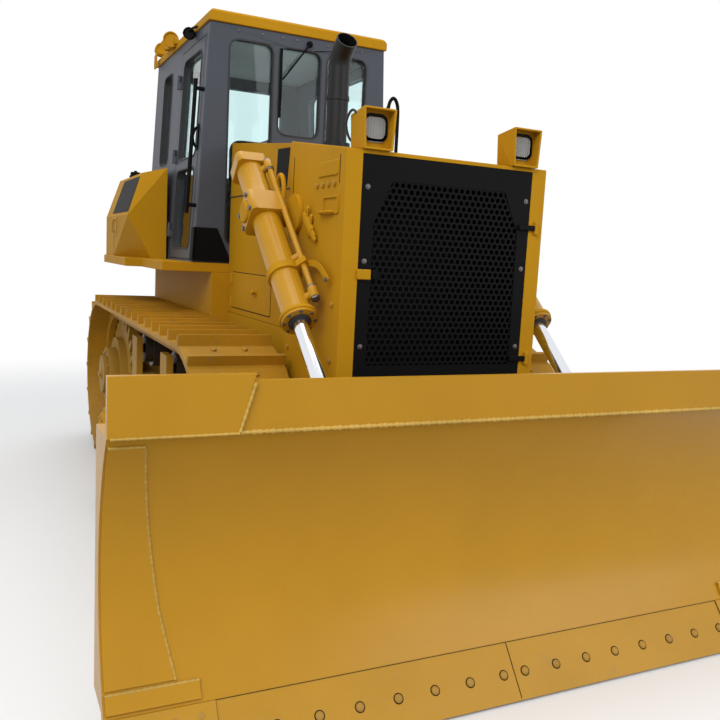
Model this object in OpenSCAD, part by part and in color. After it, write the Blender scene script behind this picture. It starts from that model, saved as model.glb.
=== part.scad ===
// Tracked bulldozer with a straight spill-plate blade, an enclosed cab and
// lift cylinders hung on the radiator guard.
// Millimetres, +Z up, the blade faces -Y, +X is the machine's left side.

/* [Blade] */
// half of the blade's width
blade_half = 1700; // [1400:10:2000]
// front line of the moldboard at its lower and upper edge
blade_y = -2675; // [-3000:5:-2400]
// forward reach of the cutting edge
edge_reach = 150; // [80:5:250]
// height of the cutting edge's lower side above the ground
edge_lift = 12; // [0:1:60]
// height of the seam above the cutting edge
seam_z = 205; // [150:5:300]
// height of the weld under the spill plate
weld_z = 1208; // [1000:2:1400]
// top of the spill plate
spill_z = 1396; // [1200:2:1600]
// top of the raised corner plates
corner_z = 1420; // [1200:2:1650]
// inner end of the raised corner plates
corner_x = 1190; // [900:10:1500]
// how far the inner ends of the corner plates slant
corner_cut = 55; // [0:1:120]
// radius of the moldboard's hollow face
hollow_r = 850; // [700:10:1500]
// thickness of the moldboard
board_t = 25; // [12:1:40]
// thickness of the spill plate
spill_t = 22; // [12:1:40]
// thickness of the cutting edge
edge_t = 32; // [20:1:50]
// distance of the end bit seam from the middle
bit_x = 1302; // [1100:2:1500]
// open seam between cutting edge pieces
seam_gap = 2; // [1:0.5:5]
// depth of the stiffening boxes behind the moldboard
back_d = 110; // [60:5:200]
// height of the lower stiffening box
low_box_h = 260; // [150:5:400]
// height of the upper stiffening box
top_box_h = 84; // [50:2:160]
// thickness of the upright ribs
rib_t = 30; // [15:1:50]

/* [Push arms] */
// fore-and-aft place of the push arm pivots
pivot_y = 350; // [0:10:700]
// height of the push arm pivots
pivot_z = 560; // [450:5:700]
// gap between the tracks and the push arms
arm_gap = 32; // [20:1:80]
// width of the push arms
arm_w = 116; // [80:2:160]
// height of the push arms
arm_h = 210; // [140:5:280]
// height of the arms' front end
arm_front_z = 400; // [300:5:500]
// radius of the pivot's cap
cap_r = 150; // [100:5:200]
// radius of the tilt braces
brace_r = 48; // [30:1:70]
// height of the braces' upper end
brace_z = 1050; // [900:10:1180]

/* [Lift cylinders] */
// sideways place of the lift cylinders
lift_x = 700; // [640:2:760]
// fore-and-aft place of the trunnions
trunnion_y = -1247; // [-1500:1:-1000]
// height of the trunnions
trunnion_z = 2054; // [1800:1:2300]
// fore-and-aft place of the rod eyes
eye_y = -2385; // [-2500:1:-2200]
// height of the rod eyes
eye_z = 1032; // [900:1:1150]
// radius of the barrel
barrel_r = 76; // [60:1:100]
// barrel length in front of the trunnion
barrel_front = 787; // [600:1:900]
// barrel length behind the trunnion
barrel_back = 413; // [300:1:500]
// radius of the rod
rod_r = 38; // [25:1:50]
// rod length held inside the barrel
rod_hold = 400; // [300:5:450]
// radius of the rod's eye
eye_r = 72; // [50:1:90]
// half width of the rod's eye
eye_half = 39; // [25:1:60]
// thickness of the ears on the blade
ear_t = 30; // [15:1:45]
// radius of the flange on the guard
flange_r = 104; // [80:1:130]
// radius of the collar on the flange
stub_r = 66; // [50:1:80]
// radius of the trunnion pin
trunnion_r = 44; // [30:1:48]
// depth of the trunnion pin in its block
trunnion_in = 30; // [15:1:36]
// length of the trunnion block along the barrel
collar_h = 150; // [100:2:200]
// outward reach of the trunnion block from the barrel's middle
collar_out = 104; // [90:1:130]
// half depth of the trunnion block
collar_half = 96; // [85:1:120]
// rounding of the trunnion block
collar_round = 30; // [10:1:50]
// length of the barrel's end block
cap_h = 70; // [40:1:110]
// radius of the oil pipe on the barrel
pipe_r = 16; // [10:0.5:20]
// distance of the oil pipe from the barrel's middle
pipe_off = 115; // [105:1:120]
// turn of the oil pipe about the barrel
pipe_turn = 50; // [49:1:70]
// distance of the oil pipe's ends from the barrel's ends
pipe_end = 110; // [80:1:160]

/* [Radiator guard] */
// front of the guard
guard_y = -1984; // [-2200:5:-1800]
// back of the guard
guard_back_y = -1265; // [-1500:5:-1100]
// half width of the guard
guard_half = 565; // [480:5:650]
// underside of the guard
guard_z = 560; // [450:5:700]
// top of the guard at its front
guard_top_z = 2340; // [2100:5:2500]
// top of the guard at its back
hood_front_z = 2440; // [2200:5:2600]
// wall thickness of the guard
guard_t = 46; // [20:1:80]
// half width of the grille
grille_half = 480; // [400:5:540]
// underside of the grille
grille_z = 690; // [600:5:900]
// joint between the lower and upper grille
grille_mid_z = 1280; // [1100:1:1900]
// top of the grille
grille_top_z = 2322; // [2100:1:2400]
// thickness of the grille plate
grille_t = 12; // [6:1:20]
// distance of the grille plate behind the guard's front
grille_set = 6; // [0:1:30]
// spacing of the grille's holes
hole_pitch = 66; // [40:1:90]
// radius of the grille's holes
hole_r = 25; // [12:0.5:36]
// plain rim around the grille's holes
grille_rim = 62; // [40:1:120]
// plain band over the upper holes
grille_head = 112; // [40:1:160]
// half width of the top row of holes
grille_top_half = 320; // [200:1:420]
// thickness of the radiator core
core_t = 110; // [80:5:160]
// half width of the headlamps
lamp_half = 84; // [76:1:110]
// sideways place of the headlamps
lamp_x = 416; // [300:2:450]
// height of the headlamps
lamp_h = 190; // [150:2:240]
// depth of the headlamps
lamp_d = 150; // [120:2:220]
// overhang of the headlamps in front of the guard
lamp_over = 25; // [5:1:60]
// wall thickness of the headlamp housings
lamp_wall = 10; // [5:1:14]
// width of the lamp lens
lens_w = 112; // [80:1:120]
// depth of the lens recess
lens_set = 55; // [20:1:70]
// rounding of the lamp lens
lens_round = 32; // [10:1:40]

/* [Hood] */
// half width of the hood
hood_half = 480; // [400:5:540]
// top of the hood at the cab
hood_back_z = 2584; // [2400:2:2680]
// lower edge of the hood's sides
skirt_z = 2215; // [2000:5:2350]
// thickness of the hood's sheet
sheet_t = 12; // [6:1:20]
// joint between the lower and upper engine side panels
panel_z = 1420; // [1200:5:1600]
// height of the engine
engine_h = 1050; // [800:10:1250]
// sideways place of the exhaust
stack_x = -97; // [-300:1:300]
// fore-and-aft place of the exhaust
stack_y = -775; // [-1100:5:-300]
// top of the exhaust's straight pipe
stack_z = 3030; // [2800:5:3200]
// radius of the exhaust
stack_r = 64; // [40:1:90]
// length of the exhaust's mouth
stack_bend = 130; // [90:1:200]
// tilt of the exhaust's mouth
mouth_turn = 50; // [20:1:80]

/* [Cab] */
// front face of the cab
cab_y = 137; // [0:1:300]
// length of the cab
cab_len = 1700; // [1500:1:1800]
// half width at the floor
cab_low_half = 734; // [650:1:820]
// half width under the roof
cab_top_half = 655; // [600:1:780]
// level of the platform that carries the cab
deck_z = 1755; // [1600:1:1900]
// underside of the roof
roof_z = 3369; // [3200:1:3500]
// thickness of the roof
roof_t = 80; // [50:1:140]
// overhang of the roof
roof_over = 14; // [5:1:60]
// thickness of the cab's walls
wall_t = 60; // [40:1:80]
// thickness of the glass
glass_t = 8; // [4:0.5:12]
// rounding of the window corners
pane_r = 60; // [30:1:70]
// distance of the windows under the roof
pane_top = 95; // [60:1:160]
// distance of the front panes above the platform
pane_low = 135; // [80:1:220]
// height of the middle front pane as a share of the wall
mid_pane_share = 0.3687; // [0.25:0.001:0.42]
// height of the rear pane as a share of the wall
rear_pane_share = 0.4857; // [0.3:0.001:0.55]
// front edge of the door's opening behind the cab's front
door_front = 82; // [70:1:120]
// width of the door's opening
door_w = 676; // [600:1:760]
// post between a door and the side window behind it
side_post = 318; // [80:1:400]
// post between a side window and the back of the cab
rear_post = 330; // [120:1:420]
// lower edge of the door above the platform
door_low = 14; // [10:1:60]
// distance of the door's upper edge under the roof
door_head = 72; // [60:1:120]
// width of the door's frame around its windows
door_rim = 80; // [60:1:110]
// offset of the door's hinge axis outside the cab
hinge_off = 18; // [14:1:30]
// radius of the hinge knuckles
knuckle_r = 13; // [8:1:16]
// length of a hinge knuckle
knuckle_len = 52; // [40:1:70]
// width of a hinge leaf
leaf_w = 44; // [30:1:60]
// clearance in front of the door
door_gap_front = 14; // [10:1:20]
// clearance at the door's other edges
door_gap = 6; // [5:0.5:10]
// radius of the grab handles
handle_r = 14; // [10:1:20]
// distance of the grab handles' lower end above the platform
handle_low = 330; // [200:5:500]
// length of the grab handles
handle_len = 900; // [600:5:1000]
// distance of the grab handles from the cab
handle_off = 60; // [40:1:90]
// thickness of the cab's floor
floor_t = 30; // [15:1:50]

/* [Cab interior] */
// width of the seat
seat_w = 480; // [400:5:560]
// depth of the seat
seat_d = 460; // [400:5:540]
// fore-and-aft middle of the seat
seat_y = 960; // [800:5:1100]
// height of the seat above the floor
seat_h = 430; // [360:5:500]
// thickness of the seat's cushions
cushion_t = 130; // [90:2:160]
// height of the seat's back
back_h = 560; // [450:5:700]
// width of the side consoles
console_w = 170; // [120:2:200]
// height of the side consoles
console_h = 420; // [300:5:520]
// depth of the dash
dash_d = 200; // [150:2:250]
// height of the dash
dash_h = 860; // [600:5:950]
// length of the control levers
lever_h = 260; // [150:5:350]
// radius of the control levers
lever_r = 13; // [8:0.5:18]

/* [Platform and tanks] */
// half width of the platform in front of the tanks
deck_half = 946; // [850:2:1050]
// half width of the platform under the side tanks
wing_half = 1062; // [1050:2:1250]
// back of the platform
deck_back_y = 2350; // [2100:5:2500]
// thickness of the platform
deck_t = 65; // [40:1:90]
// front of the side tanks
tank_y = 930; // [860:5:1100]
// inner face of the side tanks
tank_in = 752; // [740:1:800]
// top of the side tanks
tank_z = 2451; // [2410:1:2600]
// height of the side tanks at their outer shoulder
tank_mid_z = 2079; // [1950:2:2250]
// height of the side tanks at their outer top edge
tank_top_z = 2402; // [2200:2:2500]
// outer side of the side tanks
tank_out = 1044; // [1000:1:1240]
// front lower corner of the side tanks
tank_low_x = 866; // [800:1:1000]
// back of the side tanks
tank_back_y = 2030; // [1700:5:2300]
// how far back the lower front corner is cut
tank_cut = 670; // [100:5:760]
// outer edge of the tanks' top
tank_top_x = 933; // [850:1:1000]
// half width of the fuel tank
fuel_half = 600; // [450:5:700]
// height of the fuel tank
fuel_h = 640; // [500:10:800]
// thickness of the walls under the platform
skirt_t = 36; // [20:1:60]
// height of the walls under the platform
skirt_h = 350; // [200:5:400]
// distance of these walls from the tracks
skirt_gap = 14; // [8:1:40]

/* [Main frame] */
// sideways place of the rails
rail_x = 300; // [250:5:350]
// width of a rail
rail_w = 120; // [80:2:160]
// height of a rail
rail_h = 260; // [200:5:320]
// half width of the rear case
case_half = 420; // [350:5:480]
// front of the rear case
case_y = 1500; // [1300:5:1600]
// back of the rear case
case_back_y = 2480; // [2300:5:2550]
// underside of the rear case
case_z = 420; // [350:5:500]
// top of the rear case
case_top_z = 1350; // [1200:5:1500]
// reach of the drawbar
draw_reach = 353; // [250:1:400]
// half width of the drawbar
draw_half = 130; // [90:5:180]
// thickness of a drawbar jaw
jaw_t = 50; // [35:1:70]
// opening between the drawbar's jaws
jaw_gap = 100; // [70:1:130]
// height of the drawbar's middle
draw_z = 560; // [480:5:650]
// radius of the drawbar's pin hole
draw_r = 32; // [20:0.5:40]
// radius of the bolt holes on the case's back
bolt_r = 13; // [8:0.5:18]
// depth of the bolt holes on the case's back
bolt_d = 60; // [40:1:90]
// sideways spacing of the bolt holes
bolt_sx = 560; // [400:10:700]
// upright spacing of the bolt holes
bolt_sz = 360; // [250:10:500]
// height of the bolt holes' middle
bolt_z = 1040; // [900:10:1200]
// underside of the belly guard
belly_z = 372; // [300:2:450]
// thickness of the belly guard
belly_t = 22; // [12:1:40]
// half width of the belly guard
belly_half = 358; // [300:2:420]
// radius of the cross shaft
shaft_r = 80; // [50:2:110]
// fore-and-aft place of the cross shaft
shaft_y = 1180; // [1000:10:1300]
// fore-and-aft place of the equalizer bar
bar_y = -330; // [-500:10:-100]
// thickness of the equalizer bar
bar_t = 130; // [90:5:180]

/* [Tracks] */
// sideways middle of a track
track_x = 874; // [850:1:950]
// width of a shoe
shoe_w = 520; // [400:5:600]
// number of shoes in a track
shoes = 44; // [36:1:52]
// radius to the outside of the shoes
shoe_r = 642; // [580:1:700]
// height of the grousers
grouser_h = 58; // [40:1:80]
// thickness of a grouser at its tip
grouser_t = 22; // [12:1:40]
// thickness of a grouser at its root
grouser_root_t = 40; // [20:1:60]
// thickness of a shoe
shoe_t = 27; // [15:1:40]
// depth of the chain under the shoes
chain_d = 112; // [80:1:140]
// width of a chain rail
chain_w = 50; // [30:1:70]
// half width of the channel between the chain's rails
channel_half = 48; // [35:1:70]
// middle of the idler
idler_y = -1095; // [-1300:5:-900]
// middle of the sprocket
sprocket_y = 1925; // [1700:5:2100]
// number of sprocket teeth
teeth = 25; // [19:1:29]
// height of the sprocket teeth
tooth_h = 84; // [60:1:100]
// half width of the track frame
frame_half = 130; // [110:2:160]
// underside of the track frame
frame_z = 545; // [500:5:600]
// top of the track frame
frame_top_z = 800; // [700:5:860]
// front of the track frame
frame_y = -530; // [-540:5:-400]
// back of the track frame
frame_back_y = 1320; // [1280:5:1325]
// thickness of the track frame's side plates
plate_t = 22; // [12:1:40]
// number of track rollers on a side
rollers = 6; // [5:1:8]
// radius of a track roller's flange
roller_flange = 150; // [120:1:156]
// radius of a carrier roller
carrier_r = 104; // [80:1:130]
// fore-and-aft places of the carrier rollers
carrier_y = 600; // [400:10:800]
// distance between the carrier rollers
carrier_gap = 1000; // [700:10:1200]
// radius of a roller's axle
axle_r = 34; // [20:1:50]
// radius of the final drive's housing
drive_r = 330; // [250:5:400]
// radius of the final drive's outer cap
drive_cap_r = 236; // [180:2:300]

/* [Hidden] */
// clearance of a seated piece
seat_fit = 0.2;
// clearance of a turning face
turn_fit = 0.4;
// overrun of every cut
over = 4;
$fn = 64;
lean = atan((cab_low_half - cab_top_half) / (roof_z - deck_z));
cab_back_y = cab_y + cab_len;
mid_pane_h = mid_pane_share * (roof_z - deck_z);
rear_pane_h = rear_pane_share * (roof_z - deck_z);
arm_x = track_x + shoe_w / 2 + arm_gap;
wall_h = (roof_z - deck_z) / cos(lean);
track_z = shoe_r + grouser_h;
chain_r = shoe_r - shoe_t - chain_d;
wheel_r = chain_r - seat_fit;
chain_half = channel_half + chain_w;
run_len = sprocket_y - idler_y;
loop_len = 2 * run_len + 2 * PI * shoe_r;
pitch = loop_len / shoes;
lift_len = norm([eye_y - trunnion_y, eye_z - trunnion_z]);
lift_tilt = atan2(eye_y - trunnion_y, eye_z - trunnion_z);
hood_slope = (hood_back_z - hood_front_z) / (cab_y - guard_back_y);
guard_slope = (hood_front_z - guard_top_z) / (guard_back_y - guard_y);
hollow_z = (seam_z + weld_z) / 2;
hollow_y = blade_y - sqrt(pow(hollow_r, 2) - pow((weld_z - seam_z) / 2, 2));
roller_r = roller_flange - chain_w / 2;
roller_z = track_z - chain_r + seat_fit + roller_r;
carrier_z = track_z + chain_r - seat_fit - carrier_r;
deck_low_z = deck_z - deck_t;
rail_z = guard_z;
rail_top_z = rail_z + rail_h;
eye_ear = eye_half + knuckle_r / 2;
hinge_y = cab_y + door_front + door_w;
door_h = wall_h - door_low - door_head;

// Both sides of the machine.
module pair() {
    children();
    mirror([1, 0, 0])
        children();
}

// A box given by its two opposite corners.
module block(low, high) {
    translate(low)
        cube(high - low);
}

// An outline in the Y-Z plane, drawn out along X from one side to the other.
module drawn(from, to) {
    translate([from, 0, 0])
        rotate([90, 0, 90])
            linear_extrude(height = to - from)
                children();
}

// An outline in the X-Z plane, drawn out along Y.
module deep(from, to) {
    translate([0, to, 0])
        rotate([90, 0, 0])
            linear_extrude(height = to - from)
                children();
}

// A round bar along X.
module bar(from, to, radius) {
    translate([from, 0, 0])
        rotate([0, 90, 0])
            cylinder(r = radius, h = to - from);
}

// A rectangle with rounded corners, from its low corner to its high corner.
module pane(low, high, radius) {
    w = high[0] - low[0];
    h = high[1] - low[1];
    translate([low[0] + radius, low[1]])
        square([w - 2 * radius, h]);
    translate([low[0], low[1] + radius])
        square([w, h - 2 * radius]);
    for (x = [low[0] + radius, high[0] - radius])
        for (z = [low[1] + radius, high[1] - radius])
            translate([x, z])
                circle(r = radius);
}

// A long round-ended outline around both track wheels.
module loop(radius) {
    translate([idler_y, track_z - radius])
        square([run_len, 2 * radius]);
    for (y = [idler_y, sprocket_y])
        translate([y, track_z])
            circle(r = radius);
}

// Place and heading of a shoe along the loop, starting under the idler and going rearward.
function on_loop(s) =
    s < run_len ? [idler_y + s, track_z - shoe_r, 0]
    : s < run_len + PI * shoe_r
        ? arc_place(sprocket_y, (s - run_len) / shoe_r * 180 / PI)
    : s < 2 * run_len + PI * shoe_r
        ? [sprocket_y - (s - run_len - PI * shoe_r), track_z + shoe_r, 180]
        : arc_place(idler_y, 180 + (s - 2 * run_len - PI * shoe_r) / shoe_r * 180 / PI);

// A point on one of the round ends.
function arc_place(y, turn) = [y + shoe_r * sin(turn), track_z - shoe_r * cos(turn), turn];

// A point of a shoe's outline moved to the shoe's place.
function shoe_point(place, along, out) =
    [place[0] + along * cos(place[2]) + out * sin(place[2]),
     place[1] + along * sin(place[2]) - out * cos(place[2])];

// Outline of one shoe with its grouser near the leading edge.
lip_share = 0.487;
shoe_shift_share = 0.3;
grouser_share = 0.36;
function shoe_outline(place) = [
    for (p = [[-pitch * lip_share, 0], [pitch * grouser_share - grouser_root_t, 0],
              [pitch * grouser_share - grouser_t, grouser_h], [pitch * grouser_share, grouser_h],
              [pitch * grouser_share, 0], [pitch * lip_share, 0]])
        shoe_point(place, p[0], p[1])];

// Rails, rear case, drawbar, cross shaft and equalizer bar.
module main_frame() {
    jaw_half = jaw_gap / 2;
    draw_back_y = case_back_y + draw_reach;
    pin_y = draw_back_y - draw_half;
    frame_in = track_x - frame_half;
    rail_out = rail_x + rail_w / 2;
    color("goldenrod") {
        pair() {
            block([rail_x - rail_w / 2, guard_back_y, rail_z], [rail_out, case_y - seat_fit, rail_top_z]);
            translate([0, shaft_y, (frame_z + frame_top_z) / 2])
                bar(rail_out + seat_fit, frame_in, shaft_r);
            block([rail_out + seat_fit, bar_y, rail_z], [frame_in, bar_y + bar_t, rail_top_z]);
        }
        difference() {
            union() {
                block([-case_half, case_y, case_z], [case_half, case_back_y, case_top_z]);
                for (side = [-1, 1])
                    translate([0, 0, draw_z + side * (jaw_half + jaw_t / 2) - jaw_t / 2]) {
                        block([-draw_half, case_back_y, 0], [draw_half, pin_y, jaw_t]);
                        translate([0, pin_y, 0])
                            cylinder(r = draw_half, h = jaw_t);
                    }
            }
            translate([0, pin_y, draw_z - jaw_half - jaw_t - over])
                cylinder(r = draw_r, h = jaw_gap + 2 * jaw_t + 2 * over);
            for (x = [-bolt_sx / 2, bolt_sx / 2])
                for (z = [bolt_z - bolt_sz / 2, bolt_z + bolt_sz / 2])
                    translate([x, case_back_y + over, z])
                        rotate([90, 0, 0])
                            cylinder(r = bolt_r, h = bolt_d + over);
        }
    }
}

// Trough under the engine, open at the top.
module belly_guard() {
    color("goldenrod")
    difference() {
        block([-belly_half, guard_back_y, belly_z], [belly_half, case_y, rail_z]);
        block([-belly_half + belly_t, guard_back_y + belly_t, belly_z + belly_t],
              [belly_half - belly_t, case_y - belly_t, rail_z + over]);
    }
}

// Plain engine block standing on the rails.
module engine_block() {
    front = guard_back_y + core_t;
    engine_half = rail_x - rail_w / 4;
    color("dimgray")
        block([-engine_half, front, rail_top_z], [engine_half, cab_y - core_t, rail_top_z + engine_h]);
}

// Radiator core on the guard's floor.
module radiator_core() {
    back = guard_back_y - 2 * core_t;
    color("black")
        block([-grille_half, back - core_t, guard_z + guard_t], [grille_half, back, guard_top_z - guard_t]);
}

// Side outline of the guard, inset all round by a given wall.
module guard_outline(inset) {
    polygon([[guard_y + inset, guard_z + inset], [guard_y + inset, guard_top_z - inset],
             [guard_back_y - inset, hood_front_z - inset], [guard_back_y - inset, guard_z + inset]]);
}

// Box-shaped guard, open at the front for the grille and open at the back.
module radiator_guard() {
    inner = guard_half - guard_t;
    color("goldenrod")
    difference() {
        drawn(-guard_half, guard_half)
            guard_outline(0);
        drawn(-inner, inner)
            guard_outline(guard_t);
        block([-grille_half, guard_y - over, grille_z],
              [grille_half, guard_y + guard_t + over, grille_top_z]);
        block([-inner, guard_back_y - guard_t - over, guard_z + guard_t],
              [inner, guard_back_y + over, skirt_z]);
    }
}

// Perforated plate between two heights, its rows narrowing toward the top row.
narrow_share = 0.45;
module perforated(low, high, head, top_half) {
    rows = floor((high - low - grille_rim - head) / hole_pitch);
    step = hole_pitch * sqrt(3) / 2;
    columns = floor((grille_half - grille_rim) / step);
    half = grille_half - seat_fit;
    deep(guard_y + grille_set, guard_y + grille_set + grille_t)
        difference() {
            translate([-half, low])
                square([2 * half, high - low]);
            for (i = [-columns:columns])
                for (j = [0:rows])
                    if (abs(i) * step < top_half + (rows - j) * hole_pitch * narrow_share)
                        translate([i * step, low + grille_rim + (j + (i % 2 == 0 ? 0 : 1) / 2) * hole_pitch])
                            circle(r = hole_r, $fn = 6);
        }
}

// Lower and upper grille plates.
module grilles() {
    color("black") {
        perforated(grille_z + seat_fit, grille_mid_z - seam_gap, grille_rim, grille_half);
        perforated(grille_mid_z + seam_gap, grille_top_z - seat_fit, grille_head, grille_top_half);
    }
}

// Hood with side skirts, rising toward the cab.
module hood() {
    back = cab_y - seat_fit;
    inner = hood_half - sheet_t;
    color("goldenrod")
    difference() {
        drawn(-hood_half, hood_half)
            polygon([[guard_back_y + seat_fit, skirt_z], [guard_back_y + seat_fit, hood_front_z],
                     [back, hood_back_z], [back, skirt_z]]);
        drawn(-inner, inner)
            polygon([[guard_back_y - over, skirt_z - over], [guard_back_y - over, hood_front_z - sheet_t],
                     [cab_y + over, hood_back_z - sheet_t], [cab_y + over, skirt_z - over]]);
    }
}

// Upper side panels of the engine bay, and lower ones with a flange on the rails.
module engine_panels() {
    front = guard_back_y + seat_fit;
    back = cab_y - seat_fit;
    low_half = min(hood_half, track_x - shoe_w / 2 - skirt_gap);
    low_in = low_half - sheet_t;
    flange_z = rail_top_z + sheet_t;
    color("goldenrod")
    pair() {
        block([hood_half - sheet_t, front, panel_z], [hood_half, back, skirt_z - seat_fit]);
        deep(front, back)
            polygon([[rail_x, rail_top_z], [low_half, rail_top_z], [low_half, panel_z - seam_gap],
                     [low_in, panel_z - seam_gap], [low_in, flange_z], [rail_x, flange_z]]);
    }
}

// Exhaust pipe with a foot on the hood and a mouth leaning forward.
module exhaust_stack() {
    foot_z = hood_front_z + hood_slope * (stack_y - guard_back_y);
    foot_r = stack_r + 2 * sheet_t;
    low_z = foot_z - foot_r;
    color("dimgray")
    translate([stack_x, stack_y, 0])
        difference() {
            union() {
                translate([0, 0, low_z])
                    cylinder(r = stack_r, h = stack_z - low_z);
                translate([0, 0, low_z])
                    cylinder(r = foot_r, h = foot_r + 2 * sheet_t);
                translate([0, 0, stack_z])
                    sphere(r = stack_r + sheet_t / 4);
                translate([0, 0, stack_z])
                    rotate([mouth_turn, 0, 0])
                        cylinder(r = stack_r, h = stack_bend);
            }
            translate([0, 0, stack_z])
                rotate([mouth_turn, 0, 0])
                    cylinder(r = stack_r - sheet_t / 2, h = stack_bend + over);
            drawn(-stack_bend, stack_bend)
                polygon([[-stack_bend, low_z - over], [stack_bend, low_z - over],
                         [stack_bend, foot_z + hood_slope * stack_bend],
                         [-stack_bend, foot_z - hood_slope * stack_bend]]);
        }
}

// Front outline of a headlamp, narrower at its foot, inset by a given wall.
lamp_foot_share = 0.88;
module lamp_face(inset) {
    low = guard_top_z + inset;
    high = guard_top_z + lamp_h - inset;
    foot = lamp_half * lamp_foot_share - inset;
    wide = lamp_half - inset;
    polygon([[lamp_x - foot, low], [lamp_x + foot, low], [lamp_x + wide, high], [lamp_x - wide, high]]);
}

// Headlamp housings on the guard's top, open at the front.
lamp_brow_share = 0.88;
module headlamps() {
    front = guard_y - lamp_over;
    back = front + lamp_d;
    low = guard_top_z + seat_fit;
    low_back = low + guard_slope * (back - guard_y);
    color("goldenrod")
    pair()
        difference() {
            intersection() {
                drawn(lamp_x - lamp_half, lamp_x + lamp_half)
                    polygon([[front, low], [front, guard_top_z + lamp_h],
                             [back, guard_top_z + lamp_h * lamp_brow_share], [back, low_back],
                             [guard_y, low]]);
                deep(front, back)
                    lamp_face(0);
            }
            deep(front - over, front + lens_set)
                lamp_face(lamp_wall);
        }
}

// Lenses seated on the floor of the headlamps' recess.
module headlamp_lenses() {
    face = guard_y - lamp_over + lens_set;
    half = lens_w / 2;
    mid_z = guard_top_z + lamp_h / 2;
    color("white")
    pair()
        deep(face - glass_t, face)
            pane([lamp_x - half, mid_z - half], [lamp_x + half, mid_z + half], lens_round);
}

// Platform over the tracks, its wings, posts and the walls that hang from it inside the tracks.
module platform() {
    post_in = rail_x - rail_w / 2;
    post_out = rail_x + rail_w / 2;
    top = deck_low_z - seat_fit;
    wall_out = track_x - shoe_w / 2 - skirt_gap;
    wall_z = deck_low_z - skirt_h;
    color("goldenrod") {
        block([-deck_half, cab_y, deck_low_z], [deck_half, tank_y - seat_fit, deck_z]);
        block([-wing_half, tank_y, deck_low_z], [wing_half, tank_back_y, deck_z]);
        block([-deck_half, tank_back_y + seat_fit, deck_low_z], [deck_half, deck_back_y, deck_z]);
        pair() {
            block([post_in, cab_y, rail_top_z], [post_out, cab_y + rail_w, top]);
            block([post_in, case_y + rail_w, case_top_z], [post_out, case_y + 2 * rail_w, top]);
            block([post_out + seat_fit, cab_y, wall_z], [wall_out, cab_y + skirt_t, top]);
            block([wall_out - skirt_t, cab_y + skirt_t + seat_fit, wall_z],
                  [wall_out, deck_back_y - rail_h, top]);
        }
    }
}

// Faceted tanks on both wings.
module side_tanks() {
    front = tank_y;
    back = tank_back_y;
    color("goldenrod")
    pair()
        hull()
            polyhedron_block([
                [tank_in, front, deck_z], [tank_low_x, front, deck_z], [tank_out, front + tank_cut, deck_z],
                [tank_in, front, tank_z], [tank_top_x, front + deck_t, tank_top_z],
                [tank_out, front, tank_mid_z],
                [tank_in, back, deck_z], [tank_out, back, deck_z], [tank_out, back, tank_mid_z],
                [tank_top_x, back, tank_top_z], [tank_in, back, tank_z]]);
}

// Tiny cubes at given corners, for the hull that spans them.
module polyhedron_block(points) {
    speck = seat_fit / 2;
    for (p = points)
        translate(p)
            cube(speck);
}

// Fuel tank behind the cab.
module fuel_tank() {
    front = cab_back_y + rail_w / 2;
    color("goldenrod")
        drawn(-fuel_half, fuel_half)
            pane([front, deck_z], [deck_back_y - rail_w / 2, deck_z + fuel_h], pane_r);
}

// Floor inside the cab.
module cab_floor() {
    half = cab_low_half - 2 * wall_t;
    color("dimgray")
        block([-half, cab_y + wall_t, deck_z], [half, cab_back_y - wall_t, deck_z + floor_t]);
}

// Outline of the cab seen from the front.
module cab_outline() {
    polygon([[-cab_low_half, deck_z], [cab_low_half, deck_z],
             [cab_top_half, roof_z], [-cab_top_half, roof_z]]);
}

// Window outlines of the front wall, shrunk by a given fit.
pane_out_share = 0.70;
pane_in_share = 0.28;
pane_mid_share = 0.21;
module front_panes(fit) {
    half = cab_low_half;
    top = roof_z - pane_top - fit;
    for (side = [0, 1])
        mirror([side, 0])
            pane([half * pane_in_share + fit, deck_z + pane_low + fit],
                 [half * pane_out_share - fit, top], pane_r - fit);
    mid = half * pane_mid_share - fit;
    pane([-mid, roof_z - pane_top - mid_pane_h + fit], [mid, top], pane_r - fit);
}

// Front wall with three panes.
module cab_front_wall() {
    color("slategray")
        deep(cab_y, cab_y + wall_t)
            difference() {
                cab_outline();
                front_panes(0);
            }
}

// Window outline of the rear wall.
module rear_pane(fit) {
    half = cab_top_half * pane_out_share - fit;
    top = roof_z - pane_top;
    pane([-half, top - rear_pane_h + fit], [half, top - fit], pane_r - fit);
}

// Rear wall with one wide pane.
module cab_rear_wall() {
    color("slategray")
        deep(cab_back_y - wall_t, cab_back_y)
            difference() {
                cab_outline();
                rear_pane(0);
            }
}

// Puts a flat side piece, drawn at X = 0 with its outside toward -X, on the leaning right side.
module on_side() {
    intersection() {
        translate([-cab_low_half, 0, deck_z])
            rotate([0, lean, 0])
                children();
        block([-2 * cab_low_half, cab_y, deck_z], [2 * cab_low_half, cab_back_y, roof_z]);
    }
}

// Door opening and its two windows, drawn in the side's own plane.
module door_hole(gap_front, gap) {
    y = cab_y + door_front;
    translate([y + gap_front, door_low + gap])
        square([door_w - gap_front - gap, door_h - 2 * gap]);
}
door_split_share = 0.45;
module door_panes(fit) {
    y0 = cab_y + door_front + door_rim + fit;
    y1 = cab_y + door_front + door_w - door_rim - fit;
    split = door_low + door_h * door_split_share;
    pane([y0, door_low + door_rim + fit], [y1, split - door_rim / 2 - fit], pane_r - fit);
    pane([y0, split + door_rim / 2 + fit], [y1, door_low + door_h - door_rim - fit], pane_r - fit);
}

// Window of the side wall behind the door.
module side_pane(fit) {
    low = tank_z - deck_z + pane_r;
    y0 = hinge_y + side_post + fit;
    y1 = cab_back_y - rear_post - fit;
    pane([y0, low + fit], [y1, door_low + door_h - door_rim - fit], pane_r - fit);
}

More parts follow.
